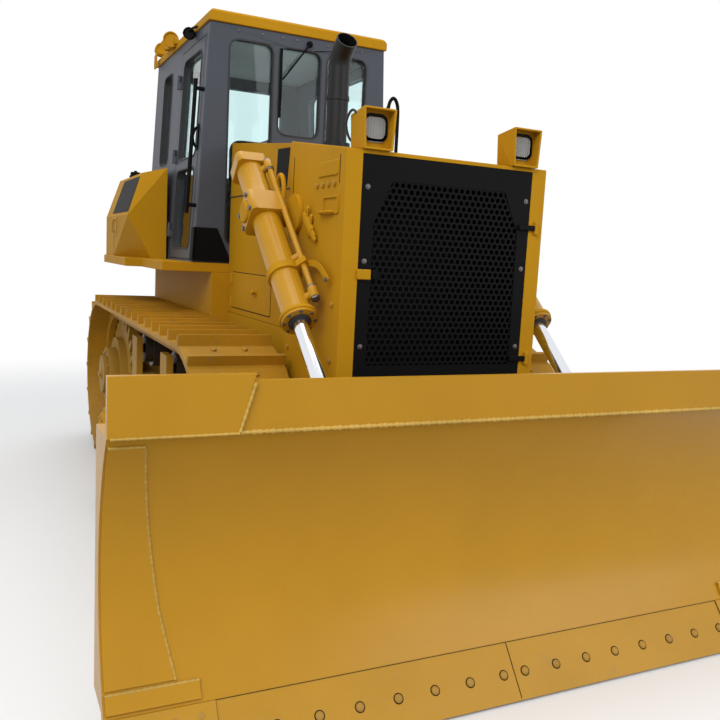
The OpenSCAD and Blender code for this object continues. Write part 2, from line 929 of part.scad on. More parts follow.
// Side wall around the door, with the fixed hinge knuckles.
module cab_side() {
    front = cab_y + wall_t;
    back = cab_back_y - wall_t;
    color("slategray") {
        on_side()
            drawn(0, wall_t)
                difference() {
                    translate([front, -wall_t])
                        square([back - front, wall_h + 2 * wall_t]);
                    door_hole(0, 0);
                    side_pane(0);
                }
        knuckles(0);
    }
}

// Hinge knuckles on the side wall (0) or on the door (1).
knuckle_shares = [0.14, 0.5, 0.86];
module knuckles(on_door) {
    y0 = on_door == 0 ? hinge_y : hinge_y - door_gap - leaf_w;
    y1 = on_door == 0 ? hinge_y + leaf_w : hinge_y - door_gap;
    axis_y = hinge_y - door_gap / 2;
    translate([-cab_low_half, 0, deck_z])
        rotate([0, lean, 0])
            for (s = knuckle_shares)
                translate([0, 0, door_low + door_h * s + (on_door == 0 ? turn_fit : -knuckle_len)]) {
                    difference() {
                        union() {
                            translate([-hinge_off, axis_y, 0])
                                cylinder(r = knuckle_r, h = knuckle_len - turn_fit);
                            block([-hinge_off, min(y0, axis_y), 0],
                                  [0, max(y1, axis_y), knuckle_len - turn_fit]);
                        }
                        block([-hinge_off + knuckle_r / 2, on_door == 0 ? axis_y - 2 * leaf_w : y1, -over],
                              [over, on_door == 0 ? y0 : axis_y + 2 * leaf_w, knuckle_len + over]);
                    }
                }
}

module cab_right_side() {
    cab_side();
}

module cab_left_side() {
    mirror([1, 0, 0])
        cab_side();
}

// Roof cap with bevelled edges.
roof_bevel_share = 0.35;
module cab_roof() {
    half = cab_top_half + roof_over;
    bevel = roof_t * roof_bevel_share;
    top = roof_z + roof_t;
    color("goldenrod")
        intersection() {
            deep(cab_y - roof_over, cab_back_y + roof_over)
                polygon([[-half, roof_z], [half, roof_z], [half, top - bevel], [half - bevel, top],
                         [-half + bevel, top], [-half, top - bevel]]);
            drawn(-half, half)
                polygon([[cab_y - roof_over, roof_z], [cab_y - roof_over, top - bevel / 2],
                         [cab_y - roof_over + bevel / 2, top],
                         [cab_back_y + roof_over - bevel, top], [cab_back_y + roof_over, top - bevel],
                         [cab_back_y + roof_over, roof_z]]);
        }
}

// All fixed panes of the cab.
module cab_glass() {
    color("lightblue") {
        deep(cab_y + wall_t / 2, cab_y + wall_t / 2 + glass_t)
            front_panes(seat_fit);
        deep(cab_back_y - wall_t / 2, cab_back_y - wall_t / 2 + glass_t)
            rear_pane(seat_fit);
        pair()
            on_side()
                drawn(wall_t / 2, wall_t / 2 + glass_t)
                    side_pane(seat_fit);
    }
}

// A door with two windows, drawn in the right side's place.
module door() {
    color("slategray") {
        on_side()
            drawn(0, wall_t)
                difference() {
                    door_hole(door_gap_front, door_gap);
                    door_panes(0);
                }
        knuckles(1);
    }
}

module door_pane() {
    color("lightblue")
        on_side()
            drawn(wall_t / 2, wall_t / 2 + glass_t)
                door_panes(seat_fit);
}

module door_right() {
    door();
}

module door_right_glass() {
    door_pane();
}

module door_left() {
    mirror([1, 0, 0])
        door();
}

module door_left_glass() {
    mirror([1, 0, 0])
        door_pane();
}

// Seat on a pedestal.
module seat() {
    foot = seat_w / 3;
    half = seat_w / 2;
    back = seat_y + seat_d / 2;
    z = deck_z + floor_t;
    top = z + seat_h;
    color("black") {
        block([-foot, seat_y - foot, z], [foot, seat_y + foot, top - cushion_t]);
        block([-half, seat_y - seat_d / 2, top - cushion_t], [half, back, top]);
        block([-half, back - cushion_t, top], [half, back, top + back_h]);
    }
}

// Dash in front of the operator and side consoles.
module dash_console() {
    z = deck_z + floor_t;
    front = cab_y + wall_t;
    half = cab_low_half * pane_in_share;
    inner = seat_w / 2 + wall_t;
    color("dimgray") {
        block([-half, front, z], [half, front + dash_d, z + dash_h]);
        pair()
            block([inner, seat_y - seat_d / 2, z], [inner + console_w, seat_y + seat_d / 2, z + console_h]);
    }
}

// Levers on the consoles.
module control_levers() {
    z = deck_z + floor_t + console_h;
    x = seat_w / 2 + wall_t + console_w / 2;
    color("black")
    pair()
        for (y = [seat_y - seat_d / 4, seat_y])
            translate([x, y, z]) {
                cylinder(r = lever_r, h = lever_h);
                translate([0, 0, lever_h])
                    sphere(r = 2 * lever_r);
            }
}

// Upright grab handles beside the doors.
module grab_handles() {
    y = cab_y + door_front / 2;
    color("black")
    pair()
        translate([-cab_low_half, y, deck_z])
            rotate([0, lean, 0]) {
                translate([-handle_off, 0, handle_low])
                    cylinder(r = handle_r, h = handle_len);
                for (z = [handle_low + handle_off, handle_low + handle_len - handle_off])
                    translate([0, 0, z])
                        bar(-handle_off, 0, handle_r);
            }
}

// Work lamps on the back of the cab.
module rear_lamps() {
    x = cab_top_half - lamp_half;
    top = roof_z - pane_r;
    half = lens_w / 2;
    color("goldenrod")
    pair()
        block([x - half / 2, cab_back_y, top - lens_w], [x + half, cab_back_y + lens_w, top]);
}

// Round flanges on the guard that carry the lift cylinders.
module cylinder_yokes() {
    meet = lift_x - barrel_r - sheet_t;
    color("goldenrod")
    pair()
        translate([0, trunnion_y - guard_t, trunnion_z]) {
            translate([0, guard_t, 0]) {
                bar(guard_half + 2 * sheet_t, meet - turn_fit, stub_r);
                bar(meet - 2 * turn_fit, meet + trunnion_in - turn_fit, trunnion_r);
            }
            translate([0, guard_t - 2 * stub_r, 0])
                bar(guard_half, guard_half + 2 * sheet_t, flange_r);
            block([guard_half, -2 * stub_r, -stub_r], [guard_half + 2 * sheet_t, guard_t + stub_r, stub_r]);
        }
}

// Box frames with idler forks, roller guards and carrier roller posts.
module track_frames() {
    fork_in = chain_half + plate_t;
    fork_h = 2 * axle_r + plate_t;
    post_x = track_x + fork_in;
    color("goldenrod")
    pair() {
        block([track_x - frame_half, frame_y, frame_z], [track_x + frame_half, frame_back_y, frame_top_z]);
        for (x = [track_x - fork_in - plate_t, track_x + fork_in]) {
            block([x, idler_y - fork_h, track_z - fork_h], [x + plate_t, frame_y, track_z + fork_h]);
            block([x, frame_y, roller_z - axle_r], [x + plate_t, frame_back_y, frame_z]);
        }
        for (y = [carrier_y - carrier_gap, carrier_y])
            block([post_x, y - fork_h, frame_top_z], [post_x + 2 * plate_t, y + fork_h, carrier_z + fork_h]);
        translate([0, pivot_y, pivot_z])
            bar(track_x + frame_half, arm_x - turn_fit, cap_r);
    }
}

// Track loops: shoes with grousers on two chain rails.
module tracks() {
    color("darkgoldenrod")
    pair() {
        drawn(track_x - shoe_w / 2, track_x + shoe_w / 2)
            difference() {
                polygon([for (i = [0:shoes - 1])
                    each shoe_outline(on_loop((i + shoe_shift_share) * pitch))]);
                loop(shoe_r - shoe_t);
            }
        for (x = [track_x - chain_half, track_x + channel_half])
            drawn(x, x + chain_w)
                difference() {
                    loop(shoe_r - shoe_t / 2);
                    loop(chain_r);
                }
    }
}

// Profile of a wheel along its axle, turned about the axle.
module wheel(profile) {
    rotate([0, 90, 0])
        rotate_extrude()
            polygon(profile);
}

// Front idlers with a middle flange and stub axles.
module idlers() {
    tip = chain_half + plate_t - seat_fit;
    web = chain_w;
    rim = wheel_r - chain_d / 2;
    hub = 3 * axle_r;
    flange = wheel_r + tooth_h / 2;
    color("darkgoldenrod")
    pair()
        translate([track_x, idler_y, track_z])
            wheel([[0, -tip], [axle_r, -tip], [axle_r, -chain_half], [hub, -chain_half], [hub, -web],
                   [rim, -web], [rim, -chain_half], [wheel_r, -chain_half], [wheel_r, -channel_half + over],
                   [flange, -channel_half + over], [flange, channel_half - over],
                   [wheel_r, channel_half - over],
                   [wheel_r, chain_half], [rim, chain_half], [rim, web], [hub, web],
                   [hub, chain_half], [axle_r, chain_half], [axle_r, tip], [0, tip]]);
}

// Drive sprockets with teeth in the chain's channel.
module sprockets() {
    root = wheel_r - chain_d / 4;
    tip = wheel_r + tooth_h;
    half = channel_half - over;
    step = 360 / teeth;
    flank_share = 0.3;
    crown_share = 0.14;
    color("darkgoldenrod")
    pair()
        translate([track_x, sprocket_y, track_z]) {
            drawn(-half, half)
                polygon([for (i = [0:teeth - 1])
                    each [for (p = [[root, -flank_share], [tip, -crown_share],
                                    [tip, crown_share], [root, flank_share]])
                        [p[0] * cos((i + p[1]) * step), p[0] * sin((i + p[1]) * step)]]]);
            bar(-chain_half, chain_half, drive_r);
        }
}

// Track rollers under the frames and carrier rollers above them.
module track_rollers() {
    tip = chain_half + plate_t - seat_fit;
    span = frame_back_y - frame_y - 2 * roller_flange;
    color("dimgray")
    pair()
        translate([track_x, 0, 0]) {
            for (i = [0:rollers - 1])
                translate([0, frame_y + roller_flange + span * i / (rollers - 1), roller_z])
                    roller(roller_r, roller_flange, tip);
            for (y = [carrier_y - carrier_gap, carrier_y])
                translate([0, y, carrier_z])
                    roller(carrier_r, carrier_r + tooth_h / 3, tip);
        }
}

// One roller with a middle flange and an axle.
module roller(rim, flange, tip) {
    half = channel_half - over;
    wheel([[0, -tip], [axle_r, -tip], [axle_r, -chain_half], [rim, -chain_half], [rim, -half],
           [flange, -half], [flange, half], [rim, half], [rim, chain_half], [axle_r, chain_half],
           [axle_r, tip], [0, tip]]);
}

// Final drive housings beside the rear case and their outer caps.
cap_share = 0.7;
module final_drives() {
    inner = track_x - chain_half;
    outer = track_x + chain_half;
    color("goldenrod")
    pair()
        translate([0, sprocket_y, track_z]) {
            bar(case_half, inner, drive_r);
            bar(outer, outer + drive_cap_r / 3, drive_cap_r);
            bar(outer + drive_cap_r / 3, outer + drive_cap_r / 2, drive_cap_r * cap_share);
        }
}

// Push arms outside the tracks with pivot caps and blade brackets.
module push_arms() {
    color("goldenrod")
    pair()
        drawn(arm_x, arm_x + arm_w)
            arm_outline();
}

// Hollow-faced moldboard with spill plates, stiffening boxes, ribs and cylinder ears.
module moldboard() {
    brace_x = arm_x + arm_w / 2;
    inner = blade_half - rib_t;
    color("goldenrod") {
        drawn(-blade_half, blade_half)
            union() {
                difference() {
                    intersection() {
                        translate([hollow_y, hollow_z])
                            circle(r = hollow_r + board_t);
                        translate([blade_y, seam_z])
                            square([2 * hollow_r, weld_z - seam_z]);
                    }
                    translate([hollow_y, hollow_z])
                        circle(r = hollow_r);
                }
                translate([blade_y, weld_z])
                    square([spill_t, spill_z - weld_z]);
            }
        pair() {
            deep(blade_y - spill_t / 2, blade_y + spill_t)
                polygon([[corner_x + corner_cut, weld_z], [blade_half, weld_z],
                         [blade_half, corner_z], [corner_x, corner_z]]);
            for (x = [blade_half - rib_t, brace_x - rib_t / 2, lift_x - eye_ear - ear_t, lift_x + eye_ear])
                drawn(x, x + rib_t)
                    rib_outline();
            for (x = [lift_x - eye_ear - ear_t, lift_x + eye_ear])
                drawn(x, x + ear_t) {
                    translate([eye_y, eye_z])
                        circle(r = eye_r);
                    translate([blade_y + 2 * back_d, eye_z - eye_r])
                        square([eye_y - blade_y - 2 * back_d, 2 * eye_r]);
                }
        }
        drawn(-inner, inner)
            intersection() {
                rib_outline();
                translate([blade_y, seam_z])
                    square([2 * back_d + board_t, low_box_h]);
            }
        drawn(-inner, inner)
            intersection() {
                rib_outline();
                translate([blade_y, weld_z - top_box_h])
                    square([back_d + spill_t, top_box_h]);
            }
    }
}

// Upright rib that fills the hollow side of the moldboard's back.
module rib_outline() {
    difference() {
        translate([blade_y + board_t, seam_z])
            square([2 * back_d, weld_z - seam_z]);
        translate([hollow_y, hollow_z])
            circle(r = hollow_r + board_t / 2);
    }
}

// Cutting edge halves and end bits, in front of the moldboard's lower edge.
module cutting_edge() {
    color("goldenrod") {
        for (side = [0, 1])
            mirror([side, 0, 0]) {
                drawn(seam_gap / 2, bit_x - seam_gap / 2)
                    edge_outline(0);
                drawn(bit_x + seam_gap / 2, blade_half)
                    edge_outline(edge_t / 4);
            }
    }
}

// Section of the cutting edge.
module edge_outline(proud) {
    polygon([[blade_y - proud, seam_z - seat_fit], [blade_y - edge_reach - proud, edge_lift],
             [blade_y - edge_reach + edge_t, edge_lift], [blade_y + edge_t + board_t, seam_z - seat_fit]]);
}

// Outline of a push arm with its pivot cap.
module arm_outline() {
    front = blade_y + board_t + 2 * back_d;
    polygon([[front, arm_front_z - arm_h / 2], [pivot_y, pivot_z - arm_h / 2],
             [pivot_y, pivot_z + arm_h / 2], [front, arm_front_z + arm_h / 2]]);
    translate([pivot_y, pivot_z])
        circle(r = cap_r);
}

// Slanting braces between the push arms and the blade's back.
brace_share = 0.55;
module blade_braces() {
    x = arm_x + arm_w / 2;
    rib_back_y = blade_y + board_t + 2 * back_d;
    low = [x, pivot_y + (blade_y - pivot_y) * brace_share, pivot_z];
    high = [x, rib_back_y - 2 * brace_r, brace_z];
    run = norm([high[1] - low[1], high[2] - low[2]]);
    tilt = atan2(low[1] - high[1], high[2] - low[2]);
    color("goldenrod")
    pair()
        difference() {
            translate(low)
                rotate([tilt, 0, 0])
                    cylinder(r = brace_r, h = run);
            drawn(arm_x - over, arm_x + arm_w + over)
                arm_outline();
            block([arm_x - over, blade_y, seam_z], [arm_x + arm_w + over, rib_back_y, weld_z]);
        }
}

// Puts a lift cylinder piece, drawn along +Z from the trunnion toward the eye, in its place.
module on_lift() {
    translate([-lift_x, trunnion_y, trunnion_z])
        rotate([-lift_tilt, 0, 0])
            children();
}

// Barrel with end block, head ring, trunnion block with its bore, and an oil pipe on bosses.
module lift_barrel() {
    ring_h = stub_r / 2;
    ring_r = barrel_r + sheet_t;
    pipe_from = pipe_end - barrel_back;
    pipe_to = barrel_front - pipe_end;
    color("goldenrod")
        on_lift()
            difference() {
                union() {
                    translate([0, 0, -barrel_back])
                        cylinder(r = barrel_r, h = barrel_front + barrel_back);
                    translate([0, 0, barrel_front - ring_h])
                        cylinder(r = ring_r, h = ring_h);
                    translate([0, 0, -barrel_back])
                        linear_extrude(height = cap_h)
                            pane([-ring_r, -ring_r], [ring_r, ring_r], collar_round);
                    translate([0, 0, -collar_h / 2])
                        linear_extrude(height = collar_h)
                            pane([-collar_out, -collar_half], [ring_r, collar_half], collar_round);
                    rotate([0, 0, pipe_turn]) {
                        translate([pipe_off, 0, pipe_from])
                            cylinder(r = pipe_r, h = pipe_to - pipe_from);
                        for (z = [pipe_from, (collar_h + pipe_to) / 2, pipe_to])
                            translate([0, 0, z])
                                bar(0, pipe_off, pipe_r + over);
                        for (z = [pipe_from, pipe_to])
                            translate([pipe_off, 0, z - 2 * pipe_r])
                                cylinder(r = pipe_r + 2 * over, h = 4 * pipe_r);
                    }
                }
                translate([0, 0, cap_h - barrel_back])
                    cylinder(r = rod_r + turn_fit, h = barrel_front + barrel_back);
                bar(ring_r - trunnion_in, ring_r + over, trunnion_r + turn_fit);
            }
}

// Chrome rod with its eye and pin.
module lift_rod() {
    color("silver")
        on_lift() {
            translate([0, 0, barrel_front - rod_hold])
                cylinder(r = rod_r, h = lift_len - barrel_front + rod_hold);
            translate([0, 0, lift_len]) {
                bar(-eye_half, eye_half, eye_r);
                bar(-eye_ear + seat_fit, eye_ear - seat_fit, rod_r);
            }
        }
}

module lift_barrel_right() {
    lift_barrel();
}

module lift_rod_right() {
    lift_rod();
}

module lift_barrel_left() {
    mirror([1, 0, 0])
        lift_barrel();
}

module lift_rod_left() {
    mirror([1, 0, 0])
        lift_rod();
}

main_frame();
belly_guard();
engine_block();
radiator_core();
radiator_guard();
grilles();
hood();
engine_panels();
exhaust_stack();
headlamps();
headlamp_lenses();
platform();
side_tanks();
fuel_tank();
cab_floor();
cab_front_wall();
cab_rear_wall();
cab_right_side();
cab_left_side();
cab_roof();
cab_glass();
seat();
dash_console();
control_levers();
grab_handles();
rear_lamps();
cylinder_yokes();
track_frames();
tracks();
idlers();
sprockets();
track_rollers();
final_drives();
door_right();
door_right_glass();
door_left();
door_left_glass();
push_arms();
moldboard();
cutting_edge();
blade_braces();
lift_barrel_right();
lift_rod_right();
lift_barrel_left();
lift_rod_left();
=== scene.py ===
import bpy
import math
import numpy as np
from mathutils import Matrix


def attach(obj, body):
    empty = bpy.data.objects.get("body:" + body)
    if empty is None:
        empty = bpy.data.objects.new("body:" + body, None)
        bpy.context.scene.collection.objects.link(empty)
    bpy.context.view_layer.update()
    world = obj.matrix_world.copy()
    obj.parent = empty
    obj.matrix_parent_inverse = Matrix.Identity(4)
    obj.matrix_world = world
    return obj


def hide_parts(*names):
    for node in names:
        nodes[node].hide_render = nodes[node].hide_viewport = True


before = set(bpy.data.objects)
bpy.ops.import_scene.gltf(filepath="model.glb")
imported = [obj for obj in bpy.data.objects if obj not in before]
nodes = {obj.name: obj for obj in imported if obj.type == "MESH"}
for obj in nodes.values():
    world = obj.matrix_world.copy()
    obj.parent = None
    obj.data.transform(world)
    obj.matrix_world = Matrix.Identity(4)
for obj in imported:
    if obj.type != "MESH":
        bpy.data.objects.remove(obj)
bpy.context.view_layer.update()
scene = bpy.context.scene
print("frame:", len(nodes), "nodes")

# camera, from the picture's vanishing points
cameraSet = {"place": (-2.0813, -5.3460, 1.8498), "yaw": 0.453, "pitch": -0.129, "roll": 0.052,
             "focalPixels": 793.8, "framePixels": 720}


def makeCamera(s):
    # forward from yaw and pitch, right and up turned about it by roll
    forward = np.array([math.sin(s["yaw"]) * math.cos(s["pitch"]), math.cos(s["yaw"]) * math.cos(s["pitch"]),
                        math.sin(s["pitch"])])
    right = np.array([math.cos(s["yaw"]), -math.sin(s["yaw"]), 0.0])
    up = np.cross(right, forward)
    c, d = math.cos(s["roll"]), math.sin(s["roll"])
    axes = np.stack([c * right + d * up, -d * right + c * up, -forward], axis=1)
    data = bpy.data.cameras.new("photoCamera")
    data.sensor_fit = "HORIZONTAL"
    data.sensor_width = 36.0
    data.lens = 36.0 * s["focalPixels"] / s["framePixels"]
    data.clip_end = 200.0
    cam = bpy.data.objects.new("photoCamera", data)
    cam.matrix_world = Matrix.Translation(s["place"]) @ Matrix(axes.tolist()).to_4x4()
    scene.collection.objects.link(cam)
    scene.camera = cam


makeCamera(cameraSet)
print("camera set")


# shader helpers: each returns the output that the next node takes

def setInputs(tree, node, values):
    # another node's output is linked to its input, any other value is set there
    for key, value in values.items():
        if isinstance(value, bpy.types.NodeSocket):
            tree.links.new(value, node.inputs[key])
        else:
            node.inputs[key].default_value = value


def addNode(tree, kind, values=None, **settings):
    node = tree.nodes.new("ShaderNode" + kind)
    for key, value in settings.items():
        setattr(node, key, value)
    setInputs(tree, node, values or {})
    return node


def objectPlace(tree):
    return addNode(tree, "TexCoord").outputs["Object"]


def noise(tree, place, scale, detail, rough=0.5):
    values = {"Vector": place, "Scale": scale, "Detail": detail, "Roughness": rough}
    return addNode(tree, "TexNoise", values).outputs["Fac"]


def bands(tree, place, scale, distortion, way):
    values = {"Vector": place, "Scale": scale, "Distortion": distortion}
    return addNode(tree, "TexWave", values, bands_direction=way).outputs["Fac"]


def ranged(tree, value, low, high, least=0.0, most=1.0, **settings):
    values = {"Value": value, "From Min": low, "From Max": high, "To Min": least, "To Max": most}
    return addNode(tree, "MapRange", values, **settings).outputs["Result"]


def maths(tree, operation, *values, clamp=False):
    return addNode(tree, "Math", dict(enumerate(values)), operation=operation, use_clamp=clamp).outputs[0]


def mixColours(tree, factor, a, b):
    return addNode(tree, "Mix", {"Factor": factor, "A": a, "B": b}, data_type="RGBA").outputs["Result"]


def upPart(tree, vector):
    return addNode(tree, "SeparateXYZ", {0: vector}).outputs["Z"]


def rippled(tree, height, strength, distance):
    values = {"Height": height, "Strength": strength, "Distance": distance}
    return addNode(tree, "Bump", values).outputs["Normal"]


def makeWearGroup():
    # base colour mottled by broad noise, dusted on upward faces and low down, with scuffs and fine specks
    group = bpy.data.node_groups.new("paintWear", "ShaderNodeTree")
    for way, kind, labels in (("INPUT", "Color", ("Base", "Dust", "Scuff")),
                              ("INPUT", "Float", ("Scuff Amount", "Dust Amount", "Mottle", "Gloss", "Low Dust")),
                              ("OUTPUT", "Color", ("Color",)), ("OUTPUT", "Float", ("Roughness", "Height"))):
        for label in labels:
            group.interface.new_socket(label, in_out=way, socket_type="NodeSocket" + kind)
    given, made = group.nodes.new("NodeGroupInput").outputs, group.nodes.new("NodeGroupOutput")
    place = objectPlace(group)
    broad, fine = noise(group, place, 1.7, 5.0, 0.62), noise(group, place, 46.0, 4.0, 0.6)
    peel, chips = noise(group, place, 210.0, 2.0), noise(group, place, 13.0, 7.0, 0.72)
    amount = maths(group, "MULTIPLY_ADD", ranged(group, broad, 0.3, 0.7, -1.0, 1.0), given["Mottle"], 1.0)
    tone = addNode(group, "HueSaturation", {"Color": given["Base"], "Value": amount}).outputs["Color"]
    rubbed = maths(group, "MULTIPLY", ranged(group, chips, 0.6, 0.66), given["Scuff Amount"], clamp=True)
    scuffed = mixColours(group, rubbed, tone, given["Scuff"])
    upward = ranged(group, upPart(group, addNode(group, "NewGeometry").outputs["Normal"]), 0.55, 1.0)
    low = maths(group, "MULTIPLY", ranged(group, upPart(group, place), 0.9, 0.0), given["Low Dust"])
    dusty = maths(group, "MULTIPLY_ADD", upward, given["Dust Amount"], low)
    mask = maths(group, "MULTIPLY", dusty, ranged(group, fine, 0.38, 0.66), clamp=True)
    rough = maths(group, "MULTIPLY_ADD", mask, 0.35, given["Gloss"], clamp=True)
    setInputs(group, made, {"Color": mixColours(group, mask, scuffed, given["Dust"]), "Height": peel,
                            "Roughness": maths(group, "MULTIPLY_ADD", fine, 0.1, rough, clamp=True)})
    return group


wearGroup = makeWearGroup()
dustColour = (0.36, 0.28, 0.17)


def startMaterial(name):
    mat = bpy.data.materials.new(name)
    mat.use_nodes = True
    return mat, mat.node_tree, mat.node_tree.nodes["Principled BSDF"]


def paintMaterial(name, base, gloss=0.38, mottle=0.1, dustAmount=0.2, lowDust=0.3, bump=0.02, metallic=0.0,
                  coat=0.0, scuff=(0.2, 0.19, 0.18), scuffAmount=0.0, specular=0.5):
    mat, tree, shader = startMaterial(name)
    wear = addNode(tree, "Group", node_tree=wearGroup)
    setInputs(tree, wear, {"Base": (*base, 1), "Dust": (*dustColour, 1), "Scuff": (*scuff, 1),
                           "Scuff Amount": scuffAmount, "Dust Amount": dustAmount, "Mottle": mottle,
                           "Gloss": gloss, "Low Dust": lowDust})
    setInputs(tree, shader, {"Base Color": wear.outputs["Color"], "Roughness": wear.outputs["Roughness"],
                             "Normal": rippled(tree, wear.outputs["Height"], bump, 0.002),
                             "Metallic": metallic, "Specular IOR Level": specular, "Coat Weight": coat,
                             "Coat Roughness": 0.15})
    return mat


def glassMaterial(name, tint, rough, clear, flutes=0.0):
    # clear or fluted glass: fine vertical ribs where flutes are asked for, faint smears elsewhere
    mat, tree, shader = startMaterial(name)
    place = objectPlace(tree)
    veil = ranged(tree, noise(tree, place, 5.0, 4.0), 0.45, 0.8, rough, rough + 0.06)
    setInputs(tree, shader, {"Base Color": (*tint, 1), "Transmission Weight": clear, "IOR": 1.25, "Roughness": veil})
    if flutes:
        setInputs(tree, shader, {"Normal": rippled(tree, bands(tree, place, 22.0, 0.0, "X"), flutes, 0.004)})
    return mat


def clothMaterial(name, base, thread):
    # two crossed bands of thread make the weave, for its colour and its height
    mat, tree, shader = startMaterial(name)
    place = objectPlace(tree)
    weave = maths(tree, "MULTIPLY", *(bands(tree, place, 160.0, 0.6, way) for way in "XZ"))
    setInputs(tree, shader, {"Base Color": mixColours(tree, weave, (*base, 1), (*thread, 1)), "Roughness": 0.85,
                             "Normal": rippled(tree, weave, 0.25, 0.002), "Sheen Weight": 0.3})
    return mat


yellowPaint = (0.47, 0.232, 0.009)
steelScuff = (0.17, 0.15, 0.12)
finishes = {
    "yellow": paintMaterial(
        "machineYellow", yellowPaint, gloss=0.48, specular=0.04, mottle=0.07, dustAmount=0.06, lowDust=0.12),
    "blade": paintMaterial(
        "bladeYellow", yellowPaint, gloss=0.24, coat=0.05, specular=0.2, mottle=0.05, dustAmount=0.05, lowDust=0.04),
    "edge": paintMaterial(
        "edgeYellow", (0.47, 0.24, 0.016), gloss=0.36, specular=0.2, mottle=0.08, dustAmount=0.08, lowDust=0.06,
        scuff=steelScuff, scuffAmount=0.12, bump=0.03),
    "weld": paintMaterial(
        "weldBead", (0.52, 0.33, 0.07), gloss=0.45, specular=0.2, mottle=0.2, lowDust=0.2, bump=0.2),
    "track": paintMaterial(
        "trackYellow", (0.40, 0.20, 0.012), gloss=0.5, specular=0.15, mottle=0.18, dustAmount=0.12, lowDust=0.45,
        bump=0.06, scuff=steelScuff, scuffAmount=0.6),
    "wheel": paintMaterial(
        "wheelYellow", (0.36, 0.19, 0.018), gloss=0.5, specular=0.15, mottle=0.2, dustAmount=0.15, lowDust=0.45,
        bump=0.05, scuff=(0.06, 0.05, 0.045), scuffAmount=0.7),
    "bolt": paintMaterial(
        "boltYellow", (0.40, 0.215, 0.025), gloss=0.4, specular=0.2, mottle=0.2, dustAmount=0.15, lowDust=0.2,
        scuff=steelScuff, scuffAmount=0.5),
    "steel": paintMaterial("darkSteel", (0.11, 0.10, 0.095), gloss=0.4, mottle=0.2, metallic=0.6),
    "cab": paintMaterial(
        "cabGrey", (0.062, 0.070, 0.088), gloss=0.42, dustAmount=0.08, lowDust=0.0, mottle=0.06, specular=0.2),
    "black": paintMaterial(
        "mattBlack", (0.004, 0.004, 0.0045), gloss=0.5, specular=0.06, dustAmount=0.01, lowDust=0.02),
    "rubber": paintMaterial(
        "blackRubber", (0.016, 0.016, 0.017), gloss=0.62, dustAmount=0.1, lowDust=0.0, bump=0.05),
    "engine": paintMaterial("engineGrey", (0.05, 0.05, 0.05), gloss=0.55),
    "core": paintMaterial(
        "coreBlack", (0.006, 0.006, 0.0065), gloss=0.6, specular=0.1, dustAmount=0.05, lowDust=0.0),
    "plastic": paintMaterial(
        "cabPlastic", (0.04, 0.041, 0.045), gloss=0.5, dustAmount=0.05, lowDust=0.0, bump=0.06),
    "cloth": clothMaterial("seatCloth", (0.016, 0.016, 0.018), (0.05, 0.05, 0.055)),
    "chrome": paintMaterial(
        "rodChrome", (0.78, 0.8, 0.84), gloss=0.06, mottle=0.02, dustAmount=0.0, lowDust=0.0, bump=0.0, metallic=1.0),
    "exhaust": paintMaterial(
        "exhaustBlack", (0.007, 0.007, 0.0075), gloss=0.4, specular=0.25, mottle=0.3, dustAmount=0.03, lowDust=0.0,
        scuff=(0.03, 0.02, 0.014), scuffAmount=0.15),
    "glass": glassMaterial("cabGlass", (0.80, 0.93, 0.93), 0.0, 1.0),
    "lens": glassMaterial("lampLens", (0.40, 0.40, 0.385), 0.12, 0.35, flutes=0.5),
    "lining": paintMaterial(
        "paleLining", (0.58, 0.6, 0.62), gloss=0.7, specular=0.2, dustAmount=0.0, lowDust=0.0, bump=0.06),
    "roller": paintMaterial("rollerSteel", (0.03, 0.02, 0.014), gloss=0.35, mottle=0.25, lowDust=0.4),
}

finishNodes = {
    "cab": ("cab_front_wall", "cab_rear_wall", "cab_right_side", "cab_left_side", "door_right", "door_left"),
    "glass": ("cab_glass", "door_right_glass", "door_left_glass"),
    "black": ("grilles", "exhaust_stack", "grab_handles", "control_levers"),
    "wheel": ("idlers", "sprockets", "track_frames", "final_drives", "belly_guard"),
    "blade": ("lift_barrel_right", "lift_barrel_left", "moldboard"),
    "chrome": ("lift_rod_right", "lift_rod_left"), "plastic": ("dash_console", "cab_floor"),
    "track": ("tracks",), "engine": ("engine_block",), "core": ("radiator_core",), "roller": ("track_rollers",),
    "edge": ("cutting_edge",), "cloth": ("seat",), "lens": ("headlamp_lenses",)}
nodeFinish = {name: finish for finish, names in finishNodes.items() for name in names}  # the rest are yellow
edgeNodes = {
    0.004: ("headlamps", "engine_panels", "cylinder_yokes", "lift_barrel_right", "lift_barrel_left", "rear_lamps"),
    0.005: ("platform", "track_frames", "belly_guard"),
    0.006: ("push_arms", "hood", "fuel_tank", "main_frame", "final_drives"),
    0.008: ("side_tanks", "cab_front_wall", "cab_rear_wall", "dash_console"),
    0.01: ("radiator_guard",), 0.012: ("cab_roof",)}
softEdges = {name: width for width, names in edgeNodes.items() for name in names}
for name, obj in nodes.items():
    obj.data.materials.clear()
    obj.data.materials.append(finishes[nodeFinish.get(name, "yellow")])
    if name in softEdges:  # sheet and plate edges are a little round
        weld = obj.modifiers.new("weld", "WELD")
        weld.merge_threshold = 0.00005
        bevel = obj.modifiers.new("softEdge", "BEVEL")
        bevel.width = softEdges[name]
        bevel.segments = 2
        bevel.limit_method = "ANGLE"
        bevel.angle_limit = math.radians(40)
        bevel.harden_normals = True
print("finishes set")


# surface helpers: a shape is its points and a list of face arrays

def unit(v):
    v = np.asarray(v, float)
    return v / np.linalg.norm(v, axis=-1, keepdims=True)


